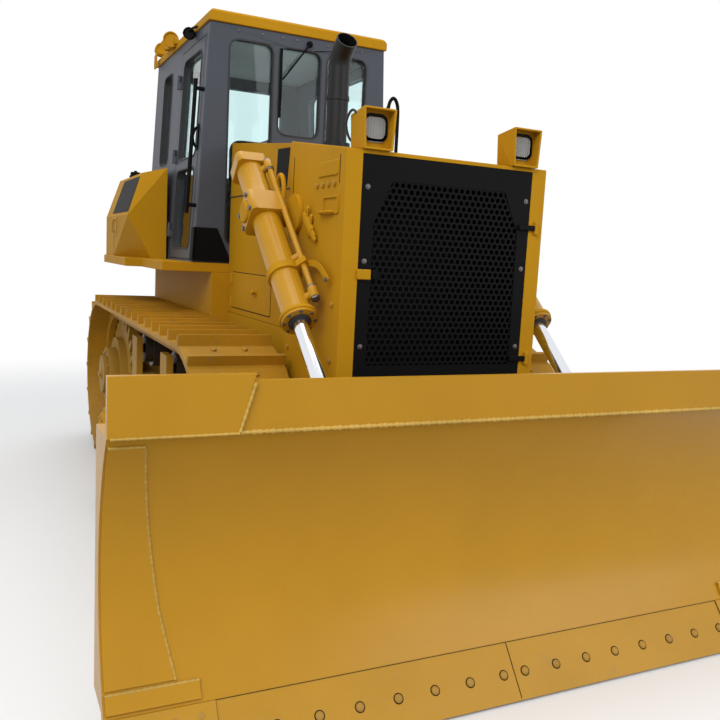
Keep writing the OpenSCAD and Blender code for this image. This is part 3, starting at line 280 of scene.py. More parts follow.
def skin(rings, closed=True, capStart=False, capEnd=False):
    # quads join each ring of points to the next one, and one face closes an end
    steps, points = rings.shape[:2]
    i, j = np.meshgrid(np.arange(steps - 1), np.arange(points if closed else points - 1), indexing="ij")
    k = (j + 1) % points
    faces = [np.stack([i * points + j, (i + 1) * points + j, (i + 1) * points + k, i * points + k],
                      axis=-1).reshape(-1, 4)]
    if capStart:
        faces.append(np.arange(points)[None, :])
    if capEnd:
        faces.append((np.arange(points)[::-1] + (steps - 1) * points)[None, :])
    return rings.reshape(-1, 3), faces


def crossAxes(t, hint):
    side = unit(np.cross(t, hint))
    return side, np.cross(side, t)


def sweep(path, profile, hint=(0.13, 0.21, 1.0), scale=None, caps=True):
    # the profile stands across the path at each of its points, sized by scale
    path = np.asarray(path, float)
    t = unit(np.gradient(path, axis=0))
    side, up = crossAxes(t, np.asarray(hint, float))
    size = np.ones(len(path)) if scale is None else np.asarray(scale, float)
    rings = path[:, None] + size[:, None, None] * (side[:, None] * profile[None, :, :1]
                                                   + up[:, None] * profile[None, :, 1:])
    return skin(rings, True, caps, caps)


def circle(r, sides=12):
    a = np.linspace(0, 2 * np.pi, sides, endpoint=False)
    return r * np.stack([np.cos(a), np.sin(a)], axis=1)


def rectangle(w, h):
    return np.array([[-w, -h], [w, -h], [w, h], [-w, h]]) / 2


def smoothPath(points, count=8):
    # each stretch is the cubic whose end slopes are half the step between the neighbours
    p = np.asarray(points, float)
    q = np.vstack([2 * p[0] - p[1], p, 2 * p[-1] - p[-2]])
    t = np.linspace(0, 1, count, endpoint=False)[None, :, None]
    a, b, c, d = q[:-3, None], q[1:-2, None], q[2:-1, None], q[3:, None]
    run = 0.5 * (2 * b + (c - a) * t + (2 * a - 5 * b + 4 * c - d) * t**2 + (3 * b - a - 3 * c + d) * t**3)
    return np.vstack([run.reshape(-1, 3), p[-1]])


def tube(points, radius, sides=12, count=8):
    return sweep(smoothPath(points, count), circle(radius, sides))


def bead(points, radius, count=60, ripple=0.16, seed=1.0):
    # a weld bead: a round profile along a line, its size rippling by two sines
    p = np.asarray(points, float)
    run = np.concatenate([[0], np.cumsum(np.linalg.norm(np.diff(p, axis=0), axis=1))])
    s = np.linspace(0, run[-1], count)
    path = np.stack([np.interp(s, run, p[:, k]) for k in range(3)], axis=1)
    wave = 1 + ripple * np.sin(s * 260 + seed) + ripple * 0.7 * np.sin(s * 97 + 2.3 * seed)
    return sweep(path, circle(radius, 8), scale=wave)


def roundedOutline(w, h, r, steps=5):
    # quarter circles at the four corners, counter-clockwise
    a = np.linspace(0, np.pi / 2, steps)
    turns = np.concatenate([a + k * np.pi / 2 for k in range(4)])
    corners = np.array([[1, 1], [-1, 1], [-1, -1], [1, -1]]) * (np.array([w, h]) / 2 - r)
    corners = np.repeat(corners, steps, axis=0)
    return corners + r * np.stack([np.cos(turns), np.sin(turns)], axis=1)


def inset(outline, by):
    # each corner moves inward along the bisector of its two edges
    e = unit(np.roll(outline, -1, axis=0) - outline)
    n = np.stack([-e[:, 1], e[:, 0]], axis=1)
    m = np.roll(n, 1, axis=0)
    return outline + by * (n + m) / (1 + (n * m).sum(axis=1, keepdims=True))


def onPlane(plane, outline, height):
    origin, u, v = (np.asarray(a, float) for a in plane)
    return origin + outline[:, :1] * u + outline[:, 1:] * v + height * np.cross(u, v)


def plate(plane, outline, height, bevel=0.002, sink=0.002):
    # an outline raised from a plane, its top edge bevelled, with its foot sunk a little
    o = np.asarray(outline, float)[::-1]
    tip = o if bevel == 0 else inset(o[::-1], bevel)[::-1]
    rings = np.stack([onPlane(plane, o, -sink), onPlane(plane, o, height - bevel), onPlane(plane, tip, height)])
    return skin(rings, True, True, True)


def ringPlate(plane, outer, inner, height, sink=0.002):
    # a flat frame between two outlines of as many points, with its two walls
    o, i = np.asarray(outer, float)[::-1], np.asarray(inner, float)[::-1]
    rings = np.stack([onPlane(plane, o, -sink), onPlane(plane, o, height), onPlane(plane, i, height),
                      onPlane(plane, i, -sink), onPlane(plane, o, -sink)])
    return skin(rings, True)


def studs(centres, axes, profile, sides=6, turn=0.0):
    # a turned profile of radius and height repeated at each centre along its axis
    c = np.atleast_2d(np.asarray(centres, float))
    t = unit(np.broadcast_to(np.asarray(axes, float), c.shape))
    side, up = crossAxes(t, np.array([0.31, 0.17, 0.93]))
    a = np.linspace(0, 2 * np.pi, sides, endpoint=False) + turn
    r, h = np.asarray(profile, float).T
    round1 = side[:, None] * np.cos(a)[None, :, None] + up[:, None] * np.sin(a)[None, :, None]
    rise = t[:, None, None] * h[None, :, None, None]
    pts = c[:, None, None] + rise + round1[:, None] * r[None, :, None, None]
    one = skin(pts[0], True, True, True)[1]
    step = (np.arange(len(c)) * len(r) * sides)[:, None, None]
    return pts.reshape(-1, 3), [(f[None] + step).reshape(-1, f.shape[1]) for f in one]


def lathe(start, axis, profile, sides=32):
    return studs([start], axis, profile, sides)


def joined(shapes):
    points, faces, start = [], [], 0
    for p, f in shapes:
        points.append(p)
        faces += [a + start for a in f]
        start += len(p)
    return np.vstack(points), faces


def mirrored(shape):
    p, f = shape
    return p * np.array([-1.0, 1.0, 1.0]), [a[:, ::-1] for a in f]


def bothSides(shapes):
    one = joined(shapes)
    return [one, mirrored(one)]


finishSlot = {"black": "black_paint", "rubber": "black_paint", "steel": "engine_grey", "exhaust": "engine_grey",
              "lens": "lamp_lens", "lining": "cab_plastic", "plastic": "cab_plastic", "cloth": "seat_cloth"}


def makePiece(name, shapes, finish, body="chassis", slotName=None, crease=35):
    slotName = slotName or finishSlot.get(finish, "yellow_paint")
    points, faces = joined(shapes)
    mesh = bpy.data.meshes.new(name)
    mesh.from_pydata(points.tolist(), [], [row for a in faces for row in a.tolist()])
    mesh.polygons.foreach_set("use_smooth", np.ones(len(mesh.polygons), bool))
    mesh.set_sharp_from_angle(angle=math.radians(crease))
    mesh.materials.append(finishes[finish])
    mesh.update()
    obj = bpy.data.objects.new(name, mesh)
    scene.collection.objects.link(obj)
    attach(obj, body)
    return obj


def makeSides(name, shapes, finish, body="chassis", slotName=None):
    # one piece of the shapes and their mirror image
    makePiece(name, bothSides(shapes), finish, body, slotName)


def makePair(name, shapes, finish, body):
    # a piece on a right-hand body and its mirror image on the left-hand one
    makePiece(name + "Right", shapes, finish, body + "_right")
    makePiece(name + "Left", [mirrored(joined(shapes))], finish, body + "_left")


frontWay = ((1, 0, 0), (0, 0, 1))  # faces -Y
rightWay = ((0, -1, 0), (0, 0, 1))  # faces -X, across = -Y
rearWay = ((-1, 0, 0), (0, 0, 1))  # faces +Y
topWay = ((1, 0, 0), (0, 1, 0))  # faces +Z
hexHead = [(1.0, 0.0), (1.0, 0.62), (0.86, 0.7)]


def bolts(points, way, r):
    return studs(points, way, [(a * r, b * r) for a, b in hexHead])


def boltCircle(x, y, z, r, count):
    # points on a circle about an axis along X
    turn = np.arange(count) * 2 * np.pi / count
    return np.stack([np.full(count, x), y + r * np.cos(turn), z + r * np.sin(turn)], axis=1)


def domeHead(r, h):
    a = np.array([0.0, 0.35, 0.7, 1.0]) * np.pi / 2 * 0.86
    return [(r, -0.001)] + list(zip(r * np.cos(a), h * np.sin(a) / math.sin(np.pi / 2 * 0.86)))


# fine mesh of the two grille plates
grilleSet = {"face": -1.979, "pitch": 0.033, "hole": 0.0128, "deep": 0.009, "rimProud": 0.003, "rimDeep": 0.008,
             "upperHoles": [(-0.415, 1.335), (0.415, 1.335), (0.41, 2.01), (0.365, 2.11), (0.32, 2.21),
                            (-0.32, 2.21), (-0.365, 2.11), (-0.41, 2.01)],
             "upperPlate": [(-0.479, 1.282), (0.479, 1.282), (0.479, 2.01), (0.479, 2.32), (0.32, 2.32),
                            (-0.32, 2.32), (-0.479, 2.32), (-0.479, 2.01)],
             "lowerHoles": [(-0.415, 0.745), (0.415, 0.745), (0.415, 1.225), (-0.415, 1.225)],
             "lowerPlate": [(-0.479, 0.692), (0.479, 0.692), (0.479, 1.277), (-0.479, 1.277)]}


def meshCells(s, outline):
    # six-sided cells in staggered rows, each a ring from its edge to its hole and a wall going in
    o = np.asarray(outline, float)
    p, rowStep = s["pitch"], s["pitch"] * math.sqrt(3) / 2
    rows = np.arange(int((o[:, 1].max() - o[:, 1].min()) / rowStep) + 2)
    reach = int(o[:, 0].max() / p) + 1
    cx, cz = np.meshgrid(np.arange(-reach, reach + 1) * p, o[:, 1].min() + rows * rowStep)
    centres = np.stack([cx + (rows % 2)[:, None] * p / 2, cz], axis=-1).reshape(-1, 2)
    edge = unit(np.roll(o, -1, axis=0) - o)
    inward = np.stack([-edge[:, 1], edge[:, 0]], axis=1)
    depth = ((centres[:, None] - o[None]) * inward[None]).sum(axis=-1)
    centres = centres[(depth > -0.5 * p).all(axis=1)]
    a = -np.arange(6) * np.pi / 3 - np.pi / 6
    ring = np.stack([np.cos(a), np.sin(a)], axis=1)
    radii = np.array([p / math.sqrt(3), s["hole"], s["hole"]])
    flat = centres[:, None, None] + radii[None, :, None, None] * ring[None, None]
    y = np.broadcast_to(np.array([0.0, 0.0, s["deep"]])[None, :, None] + s["face"], flat.shape[:3])
    pts = np.stack([flat[..., 0], y, flat[..., 1]], axis=-1)
    one = skin(pts[0])[1][0]
    return pts.reshape(-1, 3), [(one[None] + (np.arange(len(centres)) * 18)[:, None, None]).reshape(-1, 4)]


grillePlane = ((0, grilleSet["face"], 0), *frontWay)
grilleParts = [meshCells(grilleSet, grilleSet[k + "Holes"]) for k in ("upper", "lower")]
grilleParts += [ringPlate(grillePlane, grilleSet[k + "Plate"], grilleSet[k + "Holes"], grilleSet["rimProud"],
                          grilleSet["rimDeep"]) for k in ("upper", "lower")]
grille = makePiece("grilleMesh", grilleParts, "black", crease=20)
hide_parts("grilles")
print("grille made")

# fixings on the grille: bolts, latch tab, hinge tabs
fixingSet = {"face": -1.983, "boltX": 0.45, "upperZ": (2.173, 1.83, 1.427), "lowerZ": (1.22, 0.74),
             "hinges": (2.041, 1.365), "seat": [(0.013, -0.002), (0.013, 0.002), (0.011, 0.003)],
             "tab": (-0.452, -1.983, 1.769), "mark": (-0.388, -1.982, 1.772),
             "knuckle": [(0.013, -0.03), (0.013, 0.03), (0.01, 0.033)]}
grilleBolts = [(x, fixingSet["face"], z) for zs in (fixingSet["upperZ"], fixingSet["lowerZ"])
               for x in (-fixingSet["boltX"], fixingSet["boltX"]) for z in zs]
makePiece("grilleBolts", [bolts(grilleBolts, (0, -1, 0), 0.009),
                          studs(grilleBolts, (0, -1, 0), fixingSet["seat"], 14)], "steel", slotName="black_paint")
makePiece("grilleLatch", [plate((fixingSet["tab"], *frontWay), roundedOutline(0.07, 0.048, 0.006), 0.016, 0.004)],
          "yellow")
latchMark = plate((fixingSet["mark"], *frontWay), roundedOutline(0.034, 0.044, 0.004), 0.006)
hingeTabs = [plate(((0.462, -1.985, z), *frontWay), roundedOutline(0.1, 0.026, 0.006), 0.014, 0.003)
             for z in fixingSet["hinges"]]
makePiece("grilleHinges", [latchMark] + hingeTabs, "black")
makePiece("hingeKnuckles", [lathe((0.521, -1.991, z), (0, 0, 1), fixingSet["knuckle"], 16)
                            for z in fixingSet["hinges"]], "yellow")

# guard and hood sides
guardSide = -0.565
sideSet = {"panel": (1.783, 2.258, 0.235, 0.072), "bracket": (1.83, 2.09, 0.19, 0.09), "seamY": 1.918,
           "hingeY": (1.66, 1.73, 1.80, 1.87), "hingeZ": 2.186, "boltY": (1.33, 1.90),
           "boltZ": (0.75, 1.05, 1.35, 1.62)}


def onGuard(y, z):
    return ((guardSide, -y, z), *rightWay)


def seamLine(plane, length):
    # a thin upright line of shadow
    return plate(plane, rectangle(0.005, length), 0.0012, 0, 0.001)


panelY, panelZ, panelWide, panelHigh = sideSet["panel"]
frameY, frameZ, frameWide, frameHigh = sideSet["bracket"]
guardParts = [plate(onGuard(panelY, panelZ), roundedOutline(panelWide, panelHigh, 0.012), 0.007, 0.004),
              ringPlate(onGuard(frameY, frameZ), roundedOutline(frameWide, frameHigh, 0.01),
                        roundedOutline(frameWide - 0.03, frameHigh - 0.03, 0.006), 0.008),
              tube([(guardSide, -1.72, 2.05), (guardSide - 0.022, -1.735, 2.05),
                    (guardSide - 0.026, -1.80, 2.052), (guardSide - 0.022, -1.865, 2.054),
                    (guardSide, -1.88, 2.054)], 0.007, 8)]
makeSides("guardPanels", guardParts, "yellow")
guardBolts = [(guardSide, -y, sideSet["hingeZ"]) for y in sideSet["hingeY"]]
guardBolts += [(guardSide, -y, z) for y in sideSet["boltY"] for z in sideSet["boltZ"]]
makeSides("guardBolts", [bolts(guardBolts, (-1, 0, 0), 0.015)], "bolt")
guardSeams = [seamLine(onGuard(sideSet["seamY"], 2.25), 0.13), seamLine(onGuard(1.32, 2.2), 0.3)]
makeSides("guardSeams", guardSeams, "black")
guardShadeSet = {"centre": (0.519, -1.712, 1.445), "size": (0.444, 1.65)}  # on the guard's inner wall: painted shade, a black sheet standing for the shadow inside the guard behind the grille
guardShadePlane = (guardShadeSet["centre"], *rightWay)
makeSides("guardInnerShade", [plate(guardShadePlane, rectangle(*guardShadeSet["size"]), 0.004, 0.001)], "black")
hoodSide = -0.48
hoodStrip = np.array([(0.80, 2.232), (0.985, 2.226), (1.02, 2.442), (0.82, 2.452)])
makeSides("hoodStrips", [plate(((hoodSide, 0, 0), *rightWay), hoodStrip, 0.003, 0.001)], "black")
# painted shade: a thin dark strip in the rubber finish stands for the shadow in the slit along the hood's lower edge
hoodSlitPlane = ((hoodSide, -0.564, 2.214), *rightWay)
makeSides("hoodSlitShade", [plate(hoodSlitPlane, rectangle(1.38, 0.008), 0.004, 0.001)], "rubber")
coverSet = {"low": (-0.02, 1.462), "high": (0.775, 1.70), "knob": (0.503, 1.592), "knobR": 0.017,
            "hinges": (1.50, 1.66)}
coverLow, coverHigh = np.array(coverSet["low"]), np.array(coverSet["high"])
coverMiddle, coverSize = (coverLow + coverHigh) / 2, coverHigh - coverLow
coverPlane = ((hoodSide, -coverMiddle[0], coverMiddle[1]), *rightWay)
knobFoot = (hoodSide - 0.004, -coverSet["knob"][0], coverSet["knob"][1])
coverParts = [plate(coverPlane, roundedOutline(*coverSize, 0.012), 0.004, 0.002),
              lathe(knobFoot, (-1, 0, 0), [(0.026, -0.002), (0.026, 0.003), (0.01, 0.006), (0.01, 0.014),
                                           (coverSet["knobR"], 0.018), (coverSet["knobR"], 0.028),
                                           (0.011, 0.034)], 20)]
coverHinge = [(0.009, 0), (0.009, 0.06), (0.006, 0.063)]
coverParts += [lathe((hoodSide - 0.006, 0.028, z - 0.03), (0, 0, 1), coverHinge, 12) for z in coverSet["hinges"]]
makeSides("engineCovers", coverParts, "yellow")
coverSeam = ringPlate(coverPlane, roundedOutline(*(coverSize + 0.012), 0.018),
                      roundedOutline(*(coverSize + 0.002), 0.013), 0.0008, 0.001)
makeSides("coverSeams", [coverSeam], "black")
valveTop, valveLow = np.array([guardSide - 0.036, -1.52, 2.05]), np.array([guardSide - 0.036, -1.69, 1.915])
valveWay = unit(valveLow - valveTop)
valveParts = [lathe(valveTop, valveWay, [(0.014, 0), (0.02, 0.004), (0.02, 0.03), (0.032, 0.034), (0.032, 0.15),
                                         (0.022, 0.155), (0.022, 0.19), (0.015, 0.195), (0.015, 0.217)], 20),
              plate(onGuard(1.60, 1.985), roundedOutline(0.11, 0.11, 0.02), 0.012, 0.004)]
valvePort = [(0.013, 0.02), (0.013, 0.055), (0.016, 0.056), (0.016, 0.075), (0.01, 0.078)]
valveParts += [lathe(valveTop + valveWay * s, (-0.2, -0.3, 0.93), valvePort, 6) for s in (0.06, 0.125)]
valveFlat = 0.42  # flattened against the guard, so that the barrel swings past it
valveShift = (guardSide * (1 - valveFlat), 0, 0)
valveParts = [(points * (valveFlat, 1, 1) + valveShift, faces) for points, faces in valveParts]
makeSides("liftValves", valveParts, "yellow")
yokeX = guardSide - 0.042
yokeLine = [(-1.285, 2.135), (-1.288, 2.19), (-1.265, 2.245), (-1.225, 2.262), (-1.19, 2.235), (-1.19, 2.185),
            (-1.2, 2.135)]
makeSides("yokeLoops", [tube([(yokeX, y, z) for y, z in yokeLine], 0.013, 12)], "yellow")
print("guard and hood dressed")

# blade: wear plates at the ends, weld beads, bolts of the edge
bladeSet = {"axisY": -3.3613, "axisZ": 0.7065, "hollow": 0.85, "half": 1.692,
            "wearZ": (0.282, 0.522, 0.839, 1.17), "wearX": (1.44, 1.49, 1.53, 1.567), "wearLift": 0.009,
            "boltZ": 0.10, "firstBolt": 0.056, "boltStep": 0.1715}


def onHollow(x, z, lift):
    # a point of the blade's face at a height, moved toward the hollow's own axis by lift
    turn = np.arcsin((z - bladeSet["axisZ"]) / bladeSet["hollow"])
    r = bladeSet["hollow"] - lift
    return np.stack(np.broadcast_arrays(x, bladeSet["axisY"] + r * np.cos(turn),
                                        bladeSet["axisZ"] + r * np.sin(turn)), axis=-1)


def facePlate(innerX, outerX, z, lift):
    # a bent plate on the hollow face between two edges, with its four walls folded down
    across = np.concatenate([[0.0], np.linspace(0, 1, 6), [1.0]])
    rise = np.concatenate([[0], np.ones(6), [0]])
    zz = np.concatenate([z[:1], z, z[-1:]])
    lift2 = lift * rise[:, None] * np.concatenate([[0], np.ones(len(z)), [0]])[None, :] - 0.001
    i, o = np.concatenate([innerX[:1], innerX, innerX[-1:]]), np.concatenate([outerX[:1], outerX, outerX[-1:]])
    x = i[None, :] + (o - i)[None, :] * across[:, None]
    return skin(onHollow(x, np.broadcast_to(zz, x.shape), lift2), False)


wearZ = np.linspace(bladeSet["wearZ"][0], bladeSet["wearZ"][-1], 28)
wearX = np.interp(wearZ, bladeSet["wearZ"], bladeSet["wearX"])
wearOut = np.full_like(wearZ, bladeSet["half"])
footX, footZ = 1.355, np.linspace(0.214, 0.268, 6)
footPlate = facePlate(np.full_like(footZ, footX), np.full_like(footZ, bladeSet["half"]), footZ, 0.014)
wearPlate = facePlate(wearX, wearOut, wearZ, bladeSet["wearLift"])
makePiece("bladeWearPlates", bothSides([wearPlate, footPlate]), "blade", "blade", crease=25)
edgeLine = onHollow(wearX, wearZ, 0.003)
topLine = onHollow(np.linspace(wearX[-1], bladeSet["half"], 6), np.full(6, wearZ[-1]), 0.003)
lowLine = onHollow(np.linspace(footX, bladeSet["half"], 8), np.full(8, 0.269), 0.008)
weldSet = {"lip": 0.0085, "corner": 0.005, "end": 0.006, "side": 0.006}
lipBead = bead([(-1.24, -2.677, 1.208), (1.24, -2.677, 1.208)], weldSet["lip"], 520, 0.2)
cornerBead = bead([(1.245, -2.687, 1.207), (1.69, -2.687, 1.207)], weldSet["corner"], 120)
endBead = bead([(1.244, -2.686, 1.212), (1.19, -2.686, 1.39)], weldSet["end"], 50)
sideLines = ((edgeLine, 160), (topLine, 30), (lowLine, 60))
sideBeads = [bead(line, weldSet["side"], count) for line, count in sideLines]
makePiece("bladeWelds", [*bothSides(sideBeads), lipBead, *bothSides([cornerBead]), *bothSides([endBead])], "weld",
          "blade", crease=60)
edgeSet = {"topY": -2.675, "topZ": 0.205, "high": 0.193, "deep": 0.150}
slope = unit(np.array([0, -edgeSet["high"], edgeSet["deep"]]))  # outward from the slanted edge
boltX = bladeSet["firstBolt"] + bladeSet["boltStep"] * np.arange(8)


def onEdge(x, z, lift=0.0):
    x, z = np.broadcast_arrays(np.asarray(x, float), np.asarray(z, float))
    y = edgeSet["topY"] - edgeSet["deep"] * (edgeSet["topZ"] - z) / edgeSet["high"]
    return np.stack([x, y, z], axis=-1) + lift * slope


edgeBoltPoints = np.concatenate([onEdge(boltX, bladeSet["boltZ"]),
                                 onEdge([1.362, 1.459, 1.556], [0.168, 0.165, 0.162])])
edgeBoltPoints = np.concatenate([edgeBoltPoints, edgeBoltPoints * np.array([-1, 1, 1])])
makePiece("edgeBolts", [studs(edgeBoltPoints, slope, domeHead(0.019, 0.010), 14)], "bolt", "blade")
# painted shade: a black ring round each edge bolt stands for the shadow in its countersunk recess
edgeRecessShade = [(0.022, -0.002), (0.022, 0.0012), (0.020, 0.0016)]
makePiece("edgeBoltRecessShade", [studs(edgeBoltPoints, slope, edgeRecessShade, 18)], "black", "blade")
edgeSeams = [sweep(onEdge(np.full(2, x), np.array([0.2, 0.02]), 0.0005), rectangle(0.004, 0.002), hint=(1, 0, 0))
             for x in (0.0, 1.302, -1.302)]
edgeSeams.append(sweep(onEdge(np.array([-1.68, 1.68]), 0.2025, 0.0005), rectangle(0.005, 0.002),
                       hint=(0, 0.614, 0.79)))
makePiece("edgeSeams", edgeSeams, "black", "blade")
armSet = {"pivot": (0.35, 0.56), "capX": 1.282, "boltX": 1.303, "boltRing": 0.084,
          "cap": [(0.118, -0.004), (0.118, 0.014), (0.105, 0.022), (0.06, 0.022), (0.055, 0.034), (0.045, 0.038)]}
makeSides("armCaps", [lathe((armSet["capX"], *armSet["pivot"]), (1, 0, 0), armSet["cap"], 40)], "yellow", "blade")
armBolts = bolts(boltCircle(armSet["boltX"], *armSet["pivot"], armSet["boltRing"], 6), (1, 0, 0), 0.014)
makeSides("armCapBolts", [armBolts], "bolt", "blade")
print("blade dressed")

# lift cylinders: fittings, clamp, pins and bolts, worked out along the barrel
liftSet = {"x": -0.700, "y": -1.247, "z": 2.054, "clamp": 0.47, "pipeTurn": 50.0, "pipeOff": 0.115,
           "pipeFrom": -0.303, "pipeTo": 0.677, "stubX": -0.104, "headFrom": 0.749,
           "headTo": 0.787, "headRing": 0.077}
liftFoot = np.array([liftSet["x"], liftSet["y"], liftSet["z"]])
liftWay = np.array([0.0, -0.744009, -0.66817])
liftUp = np.array([0.0, -0.66817, 0.744009])


def onLift(x, up, along):
    x, up, along = np.broadcast_arrays(*(np.asarray(a, float) for a in (x, up, along)))
    return liftFoot + x[..., None] * np.array([1.0, 0, 0]) + up[..., None] * liftUp + along[..., None] * liftWay


pipeX = liftSet["pipeOff"] * math.cos(math.radians(liftSet["pipeTurn"]))
pipeUp = liftSet["pipeOff"] * math.sin(math.radians(liftSet["pipeTurn"]))
clampEnd = liftSet["clamp"]
clampLine = np.stack([onLift(pipeX * k, pipeUp * k, clampEnd) for k in (0.75, 1.25)])
guideLine = [(-0.625, -1.60, 1.79), (-0.602, -1.68, 1.808), (-0.596, -1.77, 1.80), (-0.596, -1.85, 1.765),
             (-0.596, -1.905, 1.728)]
liftTrim = [lathe(onLift(0, 0, clampEnd - 0.022), liftWay,
                  [(0.076, 0), (0.087, 0.002), (0.087, 0.042), (0.076, 0.044)], 36),
            sweep(clampLine, rectangle(0.05, 0.036), hint=liftWay),
            lathe(onLift(0, 0, liftSet["headFrom"]), liftWay,
                  [(0.088, 0), (0.094, 0.004), (0.094, 0.02), (0.088, 0.024)], 36),
            lathe(onLift(liftSet["stubX"], 0, 0), (-1, 0, 0),
                  [(0.06, -0.003), (0.06, 0.008), (0.052, 0.014), (0.02, 0.014)], 32),
            sweep(smoothPath(guideLine), rectangle(0.007, 0.03), hint=(0, 0.4, 1))]
makePair("liftTrim", liftTrim, "yellow", "lift_barrel")
headTurn = np.arange(8) * np.pi / 4 + 0.2
pipeNut = [(0.022, 0), (0.024, 0.003), (0.024, 0.02), (0.022, 0.023)]
pipeEnds = np.array([liftSet["pipeFrom"], liftSet["pipeTo"]])
cornerX, cornerUp = np.array([-1, 1, -1, 1]), np.array([-1, -1, 1, 1])
headX, headUp = liftSet["headRing"] * np.cos(headTurn), liftSet["headRing"] * np.sin(headTurn)
liftBolts = [bolts(onLift(headX, headUp, liftSet["headTo"]), liftWay, 0.009),
             bolts(onLift(cornerX * 0.062, cornerUp * 0.062, -0.413), -liftWay, 0.014),
             bolts(onLift(liftSet["stubX"], cornerX * 0.072, cornerUp * 0.052), (-1, 0, 0), 0.014),
             studs(onLift(pipeX, pipeUp, pipeEnds - 0.045), liftWay, pipeNut),
             studs(onLift(pipeX, pipeUp, pipeEnds + 0.022), liftWay, pipeNut),
             bolts([(-0.600, -1.893, 1.735)], (-1, 0, 0), 0.012)]
makePair("liftBolts", liftBolts, "steel", "lift_barrel")
rodWiper = [lathe(onLift(0, 0, liftSet["headTo"]), liftWay,
                  [(0.056, -0.003), (0.056, 0.008), (0.046, 0.014), (0.040, 0.014)], 32)]
makePair("rodSeal", rodWiper, "rubber", "lift_barrel")
print("lift cylinders dressed")

# tracks: bolts on each shoe, placed round the loop; drive covers
trackSet = {"x": 0.874, "idlerY": -1.095, "sprocketY": 1.925, "z": 0.700, "shoeRadius": 0.642, "shoes": 44,
            "shift": 0.3, "boltAlong": (-0.078, -0.02), "boltAcross": (-0.085, 0.085), "boltsAbove": 0.1}


def onLoop(s):
    # along the lower run, round the sprocket, back on the upper run and round the idler
    k = trackSet
    run, r = k["sprocketY"] - k["idlerY"], k["shoeRadius"]
    turn = np.select([s < run, s < run + np.pi * r, s < 2 * run + np.pi * r],
                     [0 * s, (s - run) / r, np.pi + 0 * s], np.pi + (s - 2 * run - np.pi * r) / r)
    y = np.select([s < run, s < run + np.pi * r, s < 2 * run + np.pi * r],
                  [k["idlerY"] + s, k["sprocketY"] + r * np.sin(turn), k["sprocketY"] - (s - run - np.pi * r)],
                  k["idlerY"] + r * np.sin(turn))
    return y, k["z"] - r * np.cos(turn), turn


pitch = (2 * (trackSet["sprocketY"] - trackSet["idlerY"])
         + 2 * np.pi * trackSet["shoeRadius"]) / trackSet["shoes"]
shoeY, shoeZ, shoeTurn = onLoop((np.arange(trackSet["shoes"]) + trackSet["shift"]) * pitch)
along, across = (a.ravel() for a in np.meshgrid(trackSet["boltAlong"], trackSet["boltAcross"]))
boltPoints = np.stack([np.broadcast_to(trackSet["x"] + across, (len(shoeY), 4)),
                       shoeY[:, None] + along * np.cos(shoeTurn)[:, None],
                       shoeZ[:, None] + along * np.sin(shoeTurn)[:, None]], axis=-1).reshape(-1, 3)
boltWays = np.repeat(np.stack([0 * shoeTurn, np.sin(shoeTurn), -np.cos(shoeTurn)], axis=1), 4, axis=0)
upper = boltPoints[:, 2] > trackSet["boltsAbove"]
makeSides("shoeBolts", [bolts(boltPoints[upper], boltWays[upper], 0.016)], "bolt", slotName="track_paint")
driveSet = {"face": 1.0507, "ring": 0.2, "plugFace": 1.09}
driveCentre = (trackSet["sprocketY"], trackSet["z"])
capBolts = bolts(boltCircle(driveSet["face"], *driveCentre, driveSet["ring"], 12), (1, 0, 0), 0.016)
plug = lathe((driveSet["plugFace"], *driveCentre), (1, 0, 0),
             [(0.05, -0.002), (0.05, 0.008), (0.03, 0.01), (0.03, 0.022), (0.026, 0.024)], 6)
makeSides("driveBolts", [capBolts, plug], "bolt", slotName="track_paint")
print("tracks dressed")

# cab: seals round the panes, wiper, door handles, roof panel, lamps at the back
cabSet = {"frontY": 0.137, "backY": 1.837, "lean": math.radians(2.802), "lowHalf": 0.734, "deck": 1.755,
          "wallTop": 3.369, "paneTop": 3.274, "paneRound": 0.06, "middleY": 0.987}
sideUp = (math.sin(cabSet["lean"]), 0, math.cos(cabSet["lean"]))
sidePlane = ((-cabSet["lowHalf"], 0, cabSet["deck"]), (0, -1, 0), sideUp)


def seal(plane, low, high, r, width=0.016, height=0.005):
    # a rubber frame with its inner edge on the pane's outline
    centre, size = (np.array(low) + np.array(high)) / 2, np.array(high) - np.array(low)
    return ringPlate(plane, roundedOutline(*(size + width), r + width / 2) + centre,
                     roundedOutline(*(size - 0.004), r - 0.002) + centre, height, 0.03)


frontPlane = ((0, cabSet["frontY"], 0), *frontWay)
backPlane = ((0, cabSet["backY"], 0), *rearWay)
paneTop, paneRound = cabSet["paneTop"], cabSet["paneRound"]
frontPanes = [(-0.514, 1.89, -0.205), (0.205, 1.89, 0.514), (-0.154, 2.679, 0.154)]
frontSeals = [seal(frontPlane, (a, low), (b, paneTop), paneRound) for a, low, b in frontPanes]
makePiece("frontSeals", frontSeals, "rubber")
makePiece("rearSeal", [seal(backPlane, (-0.4585, 2.49), (0.4585, paneTop), paneRound)], "rubber")
wallHeight = (cabSet["wallTop"] - cabSet["deck"]) / math.cos(cabSet["lean"])
doorSet = {"low": 0.014, "topGap": 0.072, "split": 0.45, "from": -0.815, "to": -0.299, "rim": 0.08, "rail": 0.04}
doorLow = doorSet["low"]
doorHeight = wallHeight - doorLow - doorSet["topGap"]
doorSplit = doorLow + doorHeight * doorSet["split"]
paneEnd = doorLow + doorHeight - doorSet["rim"]
doorPanes = [((doorSet["from"], doorLow + doorSet["rim"]), (doorSet["to"], doorSplit - doorSet["rail"])),
             ((doorSet["from"], doorSplit + doorSet["rail"]), (doorSet["to"], paneEnd))]
doorParts = [seal(sidePlane, a, b, paneRound) for a, b in doorPanes]
makePair("doorSeals", doorParts, "rubber", "door")
handleX = -0.255
handlePlane = (onPlane(sidePlane, np.array([[handleX, 0.86]]), 0.0)[0], (0, -1, 0), sideUp)
